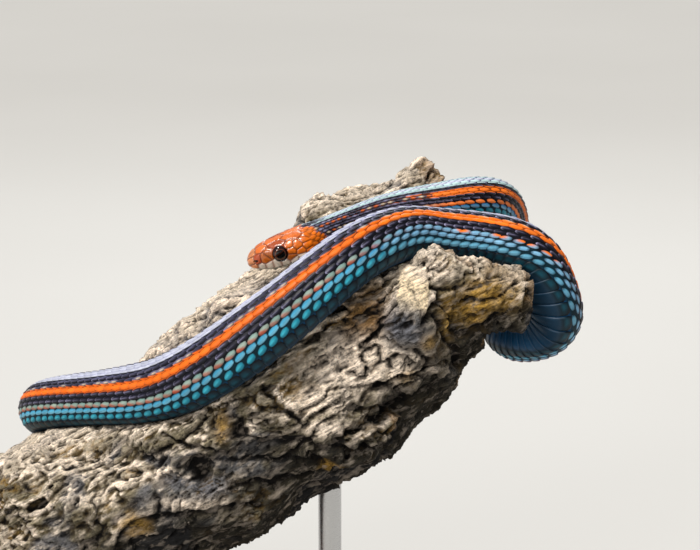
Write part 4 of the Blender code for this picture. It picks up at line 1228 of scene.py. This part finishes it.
def make_branch(route):
    """Flaking bark grown from the branch's solid, which it stays close to."""
    noise.seed_set(BARK_SEED)
    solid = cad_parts["branch"]
    seed = bpy.data.objects.new("bark_seed", solid.data.copy())
    bpy.context.scene.collection.objects.link(seed)
    even = seed.modifiers.new("even", "REMESH")
    even.mode = "VOXEL"
    even.voxel_size = BARK_GRAIN * MM
    calm = seed.modifiers.new("calm", "SMOOTH")
    calm.factor = 0.5
    calm.iterations = 10
    bpy.context.view_layer.update()
    seen = seed.evaluated_get(bpy.context.evaluated_depsgraph_get())
    mesh = bpy.data.meshes.new_from_object(seen)
    bpy.data.objects.remove(seed, do_unlink=True)
    count = len(mesh.vertices)
    points = np.empty(count * 3, np.float32)
    normals = np.empty(count * 3, np.float32)
    mesh.vertices.foreach_get("co", points)
    mesh.vertex_normals.foreach_get("vector", normals)
    points = points.reshape(-1, 3).astype(float) / MM
    normals = normals.reshape(-1, 3).astype(float)

    edges = np.empty(len(mesh.edges) * 2, np.int32)
    mesh.edges.foreach_get("vertices", edges)
    edges = edges.reshape(-1, 2)

    _, up = bark_axes()
    wander = bark_warp(points, 15.0, 5.0)
    swell = bark_noise("fractal", wander, 24.0, 1.3)
    flakes = bark_noise("ridged", bark_warp(points, 5.0, 2.0), 5.0, 2.2)
    flakes = (flakes - flakes.mean()) / flakes.std()
    grit = bark_noise("fractal", wander, 1.8, 1.8)
    lift = 1.8 * swell + 0.42 * flakes + 0.4 * grit
    # under gathers painted shade below each ledge's overhanging lip and along the grooves.
    under = np.zeros(len(points))
    for share, height, seat in ((1.0, 2.8, 0.0), (0.4, 1.3, 90.0)):
        spacing = SHELF_SPACING * share
        drift = bark_noise("fractal", wander + seat, 3.2 * spacing, 1.8)
        ripple = bark_noise("fractal", points + seat, 0.9 * spacing, 1.6)
        shelf = np.mod(points @ up / spacing + 2.3 * drift + 0.3 * ripple, 1.0)
        strength = 0.25 + 0.75 * ease(bark_noise("fractal", points - seat, 2.2 * spacing, 1.2),
                                      -0.25, 0.3)
        lift = lift + height * strength * (np.minimum(shelf / SHELF_LIP, 1 - shelf) - 0.45)
        under = under + share * strength * np.exp(-((shelf - 1) / 0.1) ** 2)
    near_side = ease(-normals[:, 1], -0.2, 0.3)
    ragged = bark_warp(points, 3.5, 1.1)
    flat = ragged[:, (0, 2)]
    marks = []
    for kind, centre, halves, depth in BARK_MARKS:
        apart = np.abs((flat - centre) / halves)
        near = near_side * np.exp(-np.sum(apart ** 2, axis=1) ** 1.5)
        if kind == "patch":
            near = near_side * ease(1.1 - apart.max(axis=1), 0.0, 0.16)
            lift = lift * (1 - 0.9 * near)
        lift = lift - depth * near
        marks.append((kind, near))
    for half_width, depth, places in BARK_GROOVES:
        apart = np.full(len(points), 1e6)
        for start, stop in zip(places, places[1:]):
            step = np.subtract(stop, start)
            share = np.clip((flat - start) @ step / (step @ step), 0, 1)
            apart = np.minimum(apart, np.linalg.norm(flat - start - share[:, None] * step, axis=1))
        near = near_side * np.exp(-(apart / half_width) ** 2)
        lift = lift - depth * near
        under = under + 0.7 * near
    hollow = sum(near for kind, near in marks if kind == "hole")
    lift = np.clip(lift, -BARK_REACH - 3.0 * hollow, BARK_REACH)
    points = points + normals * lift[:, None]

    relief = np.sum((points - relaxed(points, edges, BARK_SMOOTHING)) * normals, axis=1)
    hue = bark_noise("fractal", wander + 70, 18.0, 1.4)
    tints = blend(BARK["wood"], BARK["crust"], ease(relief, -0.4, 0.3))
    tints = blend(tints, BARK["flake"], 0.7 * ease(hue, 0.05, 0.5))
    tints = blend(tints, BARK["ochre"], 0.6 * ease(-hue, 0.2, 0.6) * ease(-relief, -0.4, 0.3))
    # Painted light from above: raised streaks and tops that face up are paled as painted highlights,
    # and bark that faces down is darkened as painted shade.
    lit_from_above = ease(normals[:, 2], -0.45, 0.35)
    streaks = ease(bark_noise("fractal", wander + 19, 4.0, 3.0), -0.2, 0.3)
    tints = blend(tints, BARK["pale"], ease(relief, -0.05, 0.4) * lit_from_above * streaks)
    top = ease(normals[:, 2], 0.25, 0.8) * ease(relief, -0.5, 0.2)
    tints = blend(tints, BARK["pale"], 0.6 * top)
    # Painted shade: bark low across the branch is darkened further.
    low_down = ease(BARK_SHADE_FROM - points @ up, 0.0, BARK_SHADE_OVER)
    tints = tints * ((0.16 + 0.84 * lit_from_above) * (1 - 0.35 * low_down))[:, None]
    broken = ease(np.abs(normals @ bark_axes()[0]), 0.6, 0.85)
    tints = blend(tints, BARK["hollow"], 0.6 * broken * ease(relief, -0.6, 0.3))
    for kind, near in marks:
        if kind != "hole":
            worn = 1.0 if kind == "patch" else 0.85 * ease(relief + 0.6 * streaks, -0.8, 0.2)
            tints = blend(tints, BARK[kind], worn * near)
    # Painted shade: sunken bark, ledge undersides, grooves and holes are darkened almost to black.
    dark = ease(-relief, 0.05, 0.9)
    tints = blend(tints, BARK["crack_shade"], np.clip(0.92 * dark + 0.8 * under + 1.6 * hollow, 0, 0.97))
    points = clear_of_snake(points, route, 0.25)
    low, high = (np.array(corner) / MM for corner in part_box("branch"))
    points = np.clip(points, low, high)

    quads = np.empty(len(mesh.loops), np.int32)
    mesh.loops.foreach_get("vertex_index", quads)
    quads = quads.reshape(-1, 4)
    bpy.data.meshes.remove(mesh)
    material = bark_material()
    piece_of = np.digitize(points[quads[:, 0], 0], BARK_PARTINGS)
    for number in range(len(BARK_PARTINGS) + 1):
        kept, faces = np.unique(quads[piece_of == number], return_inverse=True)
        bark = mesh_piece(f"bark_{number + 1}", points[kept], faces.reshape(-1, 4), material,
                          tints[kept])
        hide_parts("branch")


# Stand

BASE_THICK = 14.0
ROD_RADIUS = 4.0
ROD_FOOT_RADIUS = 8.75       # the solid's flat-sided foot is this far across its flats
ROD_FOOT_THICK = 3.0
ROD_CHAMFER = 0.6
ROD_SIDES = 48


def wood_material():
    made, tree, shader = new_material("base_wood", coat_weight=0.25, coat_roughness=0.25)
    place = node(tree, "TexCoord", {}).outputs["Object"]
    drawn = node(tree, "VectorMath", {0: place, 1: (22.0, 260.0, 260.0)},
                 operation="MULTIPLY").outputs[0]
    grain = node(tree, "TexNoise", {"Vector": drawn, "Scale": 1.0, "Detail": 6.0, "Roughness": 0.6,
                                    "Distortion": 0.8}).outputs["Fac"]
    bands = node(tree, "TexWave", {"Vector": drawn, "Scale": 0.3, "Distortion": 14.0, "Detail": 4.0},
                 bands_direction="Y").outputs["Fac"]
    ramp = node(tree, "ValToRGB", {"Fac": node(tree, "Math", {0: grain, 1: bands},
                                               operation="MULTIPLY").outputs[0]})
    ramp.color_ramp.elements[0].color = (*paint("4a2c1a"), 1.0)
    ramp.color_ramp.elements[1].color = (*paint("7c4e2e"), 1.0)
    ramp.color_ramp.elements[1].position = 0.6
    tree.links.new(ramp.outputs[0], shader.inputs["Base Color"])
    tree.links.new(spread(tree, grain, 0.3, 0.7, 0.34, 0.5), shader.inputs["Roughness"])
    bump = node(tree, "Bump", {"Height": grain, "Strength": 0.4, "Distance": 0.0003})
    tree.links.new(bump.outputs[0], shader.inputs["Normal"])
    return made


def steel_material():
    made, tree, shader = new_material("rod_steel", metallic=1.0)
    place = node(tree, "TexCoord", {}).outputs["Object"]
    drawn = node(tree, "VectorMath", {0: place, 1: (300.0, 300.0, 9000.0)},
                 operation="MULTIPLY").outputs[0]
    lines = node(tree, "TexNoise", {"Vector": drawn, "Scale": 1.0, "Detail": 3.0}).outputs["Fac"]
    ramp = node(tree, "ValToRGB", {"Fac": lines})
    ramp.color_ramp.elements[0].color = (0.42, 0.42, 0.43, 1.0)
    ramp.color_ramp.elements[1].color = (0.66, 0.66, 0.65, 1.0)
    tree.links.new(ramp.outputs[0], shader.inputs["Base Color"])
    tree.links.new(spread(tree, lines, 0.3, 0.7, 0.22, 0.4), shader.inputs["Roughness"])
    bump = node(tree, "Bump", {"Height": lines, "Strength": 0.3, "Distance": 0.00005})
    tree.links.new(bump.outputs[0], shader.inputs["Normal"])
    return made


def make_rod(name, material):
    """A turned steel rod with a round foot on the base, as the solid but finer."""
    low, high = (np.array(corner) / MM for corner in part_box(name))
    middle = (low + high) / 2
    foot = BASE_THICK + 0.3
    profile = [
        (ROD_RADIUS - ROD_CHAMFER, high[2]),
        (ROD_RADIUS, high[2] - ROD_CHAMFER),
        (ROD_RADIUS, foot + ROD_FOOT_THICK),
        (ROD_FOOT_RADIUS - ROD_CHAMFER, foot + ROD_FOOT_THICK),
        (ROD_FOOT_RADIUS, foot + ROD_FOOT_THICK - ROD_CHAMFER),
        (ROD_FOOT_RADIUS, foot),
        (ROD_RADIUS, foot),
        (ROD_RADIUS, low[2]),
    ]
    turn = np.linspace(0.0, 2 * math.pi, ROD_SIDES, endpoint=False)
    points = [(middle[0] + radius * math.cos(a), middle[1] + radius * math.sin(a), z)
              for radius, z in profile for a in turn]
    faces = [tuple(range(ROD_SIDES)), tuple(reversed(range(len(points) - ROD_SIDES, len(points))))]
    for ring in range(len(profile) - 1):
        for k in range(ROD_SIDES):
            n = (k + 1) % ROD_SIDES
            start = ring * ROD_SIDES
            faces.append((start + k, start + ROD_SIDES + k, start + ROD_SIDES + n, start + n))
    rod = mesh_piece(name + "_turned", np.array(points), faces, material)
    rod.data.set_sharp_from_angle(angle=math.radians(30))
    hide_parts(name)


def make_stand():
    """The base keeps its solid's shape and gets its finish; the rods are turned finer."""
    steel = steel_material()
    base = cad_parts["stand_base"]
    base.data.materials.clear()
    base.data.materials.append(wood_material())
    for name in ("stand_rod_low", "stand_rod_high"):
        make_rod(name, steel)


# Stage

TARGET = (53.0, -22.0, 190.0)
CAMERA_AWAY = 650.0
CAMERA_ABOVE = 15.0
CAMERA_LENS = 102.9


def soft_light(name, place, size, power, colour=(1.0, 1.0, 1.0)):
    """An area light that faces the snake."""
    data = bpy.data.lights.new(name, "AREA")
    data.shape = "DISK"
    data.size = size
    data.energy = power
    data.color = colour
    lamp = bpy.data.objects.new(name, data)
    bpy.context.scene.collection.objects.link(lamp)
    lamp.location = place
    lamp.rotation_euler = (Vector(TARGET) * MM - Vector(place)).to_track_quat("-Z", "Y").to_euler()


def make_stage():
    scene = bpy.context.scene
    made, tree, shader = new_material("floor", specular_ior_level=0.2)
    place = node(tree, "TexCoord", {}).outputs["Object"]
    cloud = node(tree, "TexNoise", {"Vector": place, "Scale": 3.0, "Detail": 2.0}).outputs["Fac"]
    ramp = node(tree, "ValToRGB", {"Fac": cloud})
    ramp.color_ramp.elements[0].color = (0.56, 0.55, 0.53, 1.0)
    ramp.color_ramp.elements[1].color = (0.60, 0.59, 0.57, 1.0)
    tree.links.new(ramp.outputs[0], shader.inputs["Base Color"])
    shader.inputs["Roughness"].default_value = 0.8
    mesh = bpy.data.meshes.new("floor")
    reach = 6.0
    mesh.from_pydata([(-reach, -reach, 0), (reach, -reach, 0), (reach, reach, 0), (-reach, reach, 0)],
                     [], [(0, 1, 2, 3)])
    mesh.materials.append(made)
    floor = bpy.data.objects.new("floor", mesh)
    scene.collection.objects.link(floor)

    world = bpy.data.worlds.new("studio")
    world.use_nodes = True
    world.node_tree.nodes["Background"].inputs["Color"].default_value = (0.92, 0.96, 1.0, 1.0)
    world.node_tree.nodes["Background"].inputs["Strength"].default_value = 0.25
    scene.world = world
    scene.view_settings.view_transform = "Standard"
    key = bpy.data.lights.new("key", "SUN")
    key.energy = 3.4
    key.angle = math.radians(14.0)
    key.color = (1.0, 0.97, 0.92)
    lamp = bpy.data.objects.new("key", key)
    scene.collection.objects.link(lamp)
    lamp.rotation_euler = Vector((-0.35, -0.42, 1.0)).to_track_quat("Z", "Y").to_euler()
    soft_light("front", (-0.5, -0.9, 0.55), 0.35, 3.0, (1.0, 0.97, 0.94))
    soft_light("back", (0.1, 0.8, 0.8), 0.6, 3.0, (0.94, 0.97, 1.0))

    data = bpy.data.cameras.new("camera")
    data.lens = CAMERA_LENS
    camera = bpy.data.objects.new("camera", data)
    scene.collection.objects.link(camera)
    above = math.radians(CAMERA_ABOVE)
    away = Vector((0.0, -math.cos(above), math.sin(above))) * CAMERA_AWAY
    camera.location = (Vector(TARGET) + away) * MM
    camera.rotation_euler = (math.radians(90.0 - CAMERA_ABOVE), 0.0, 0.0)
    scene.camera = camera


def main():
    route = Route()
    surface = Surface(route)
    make_stage()
    make_skin(route, surface)
    make_scales(surface)
    make_scutes(surface)
    make_eyes(route)
    make_branch(route)
    make_stand()


main()
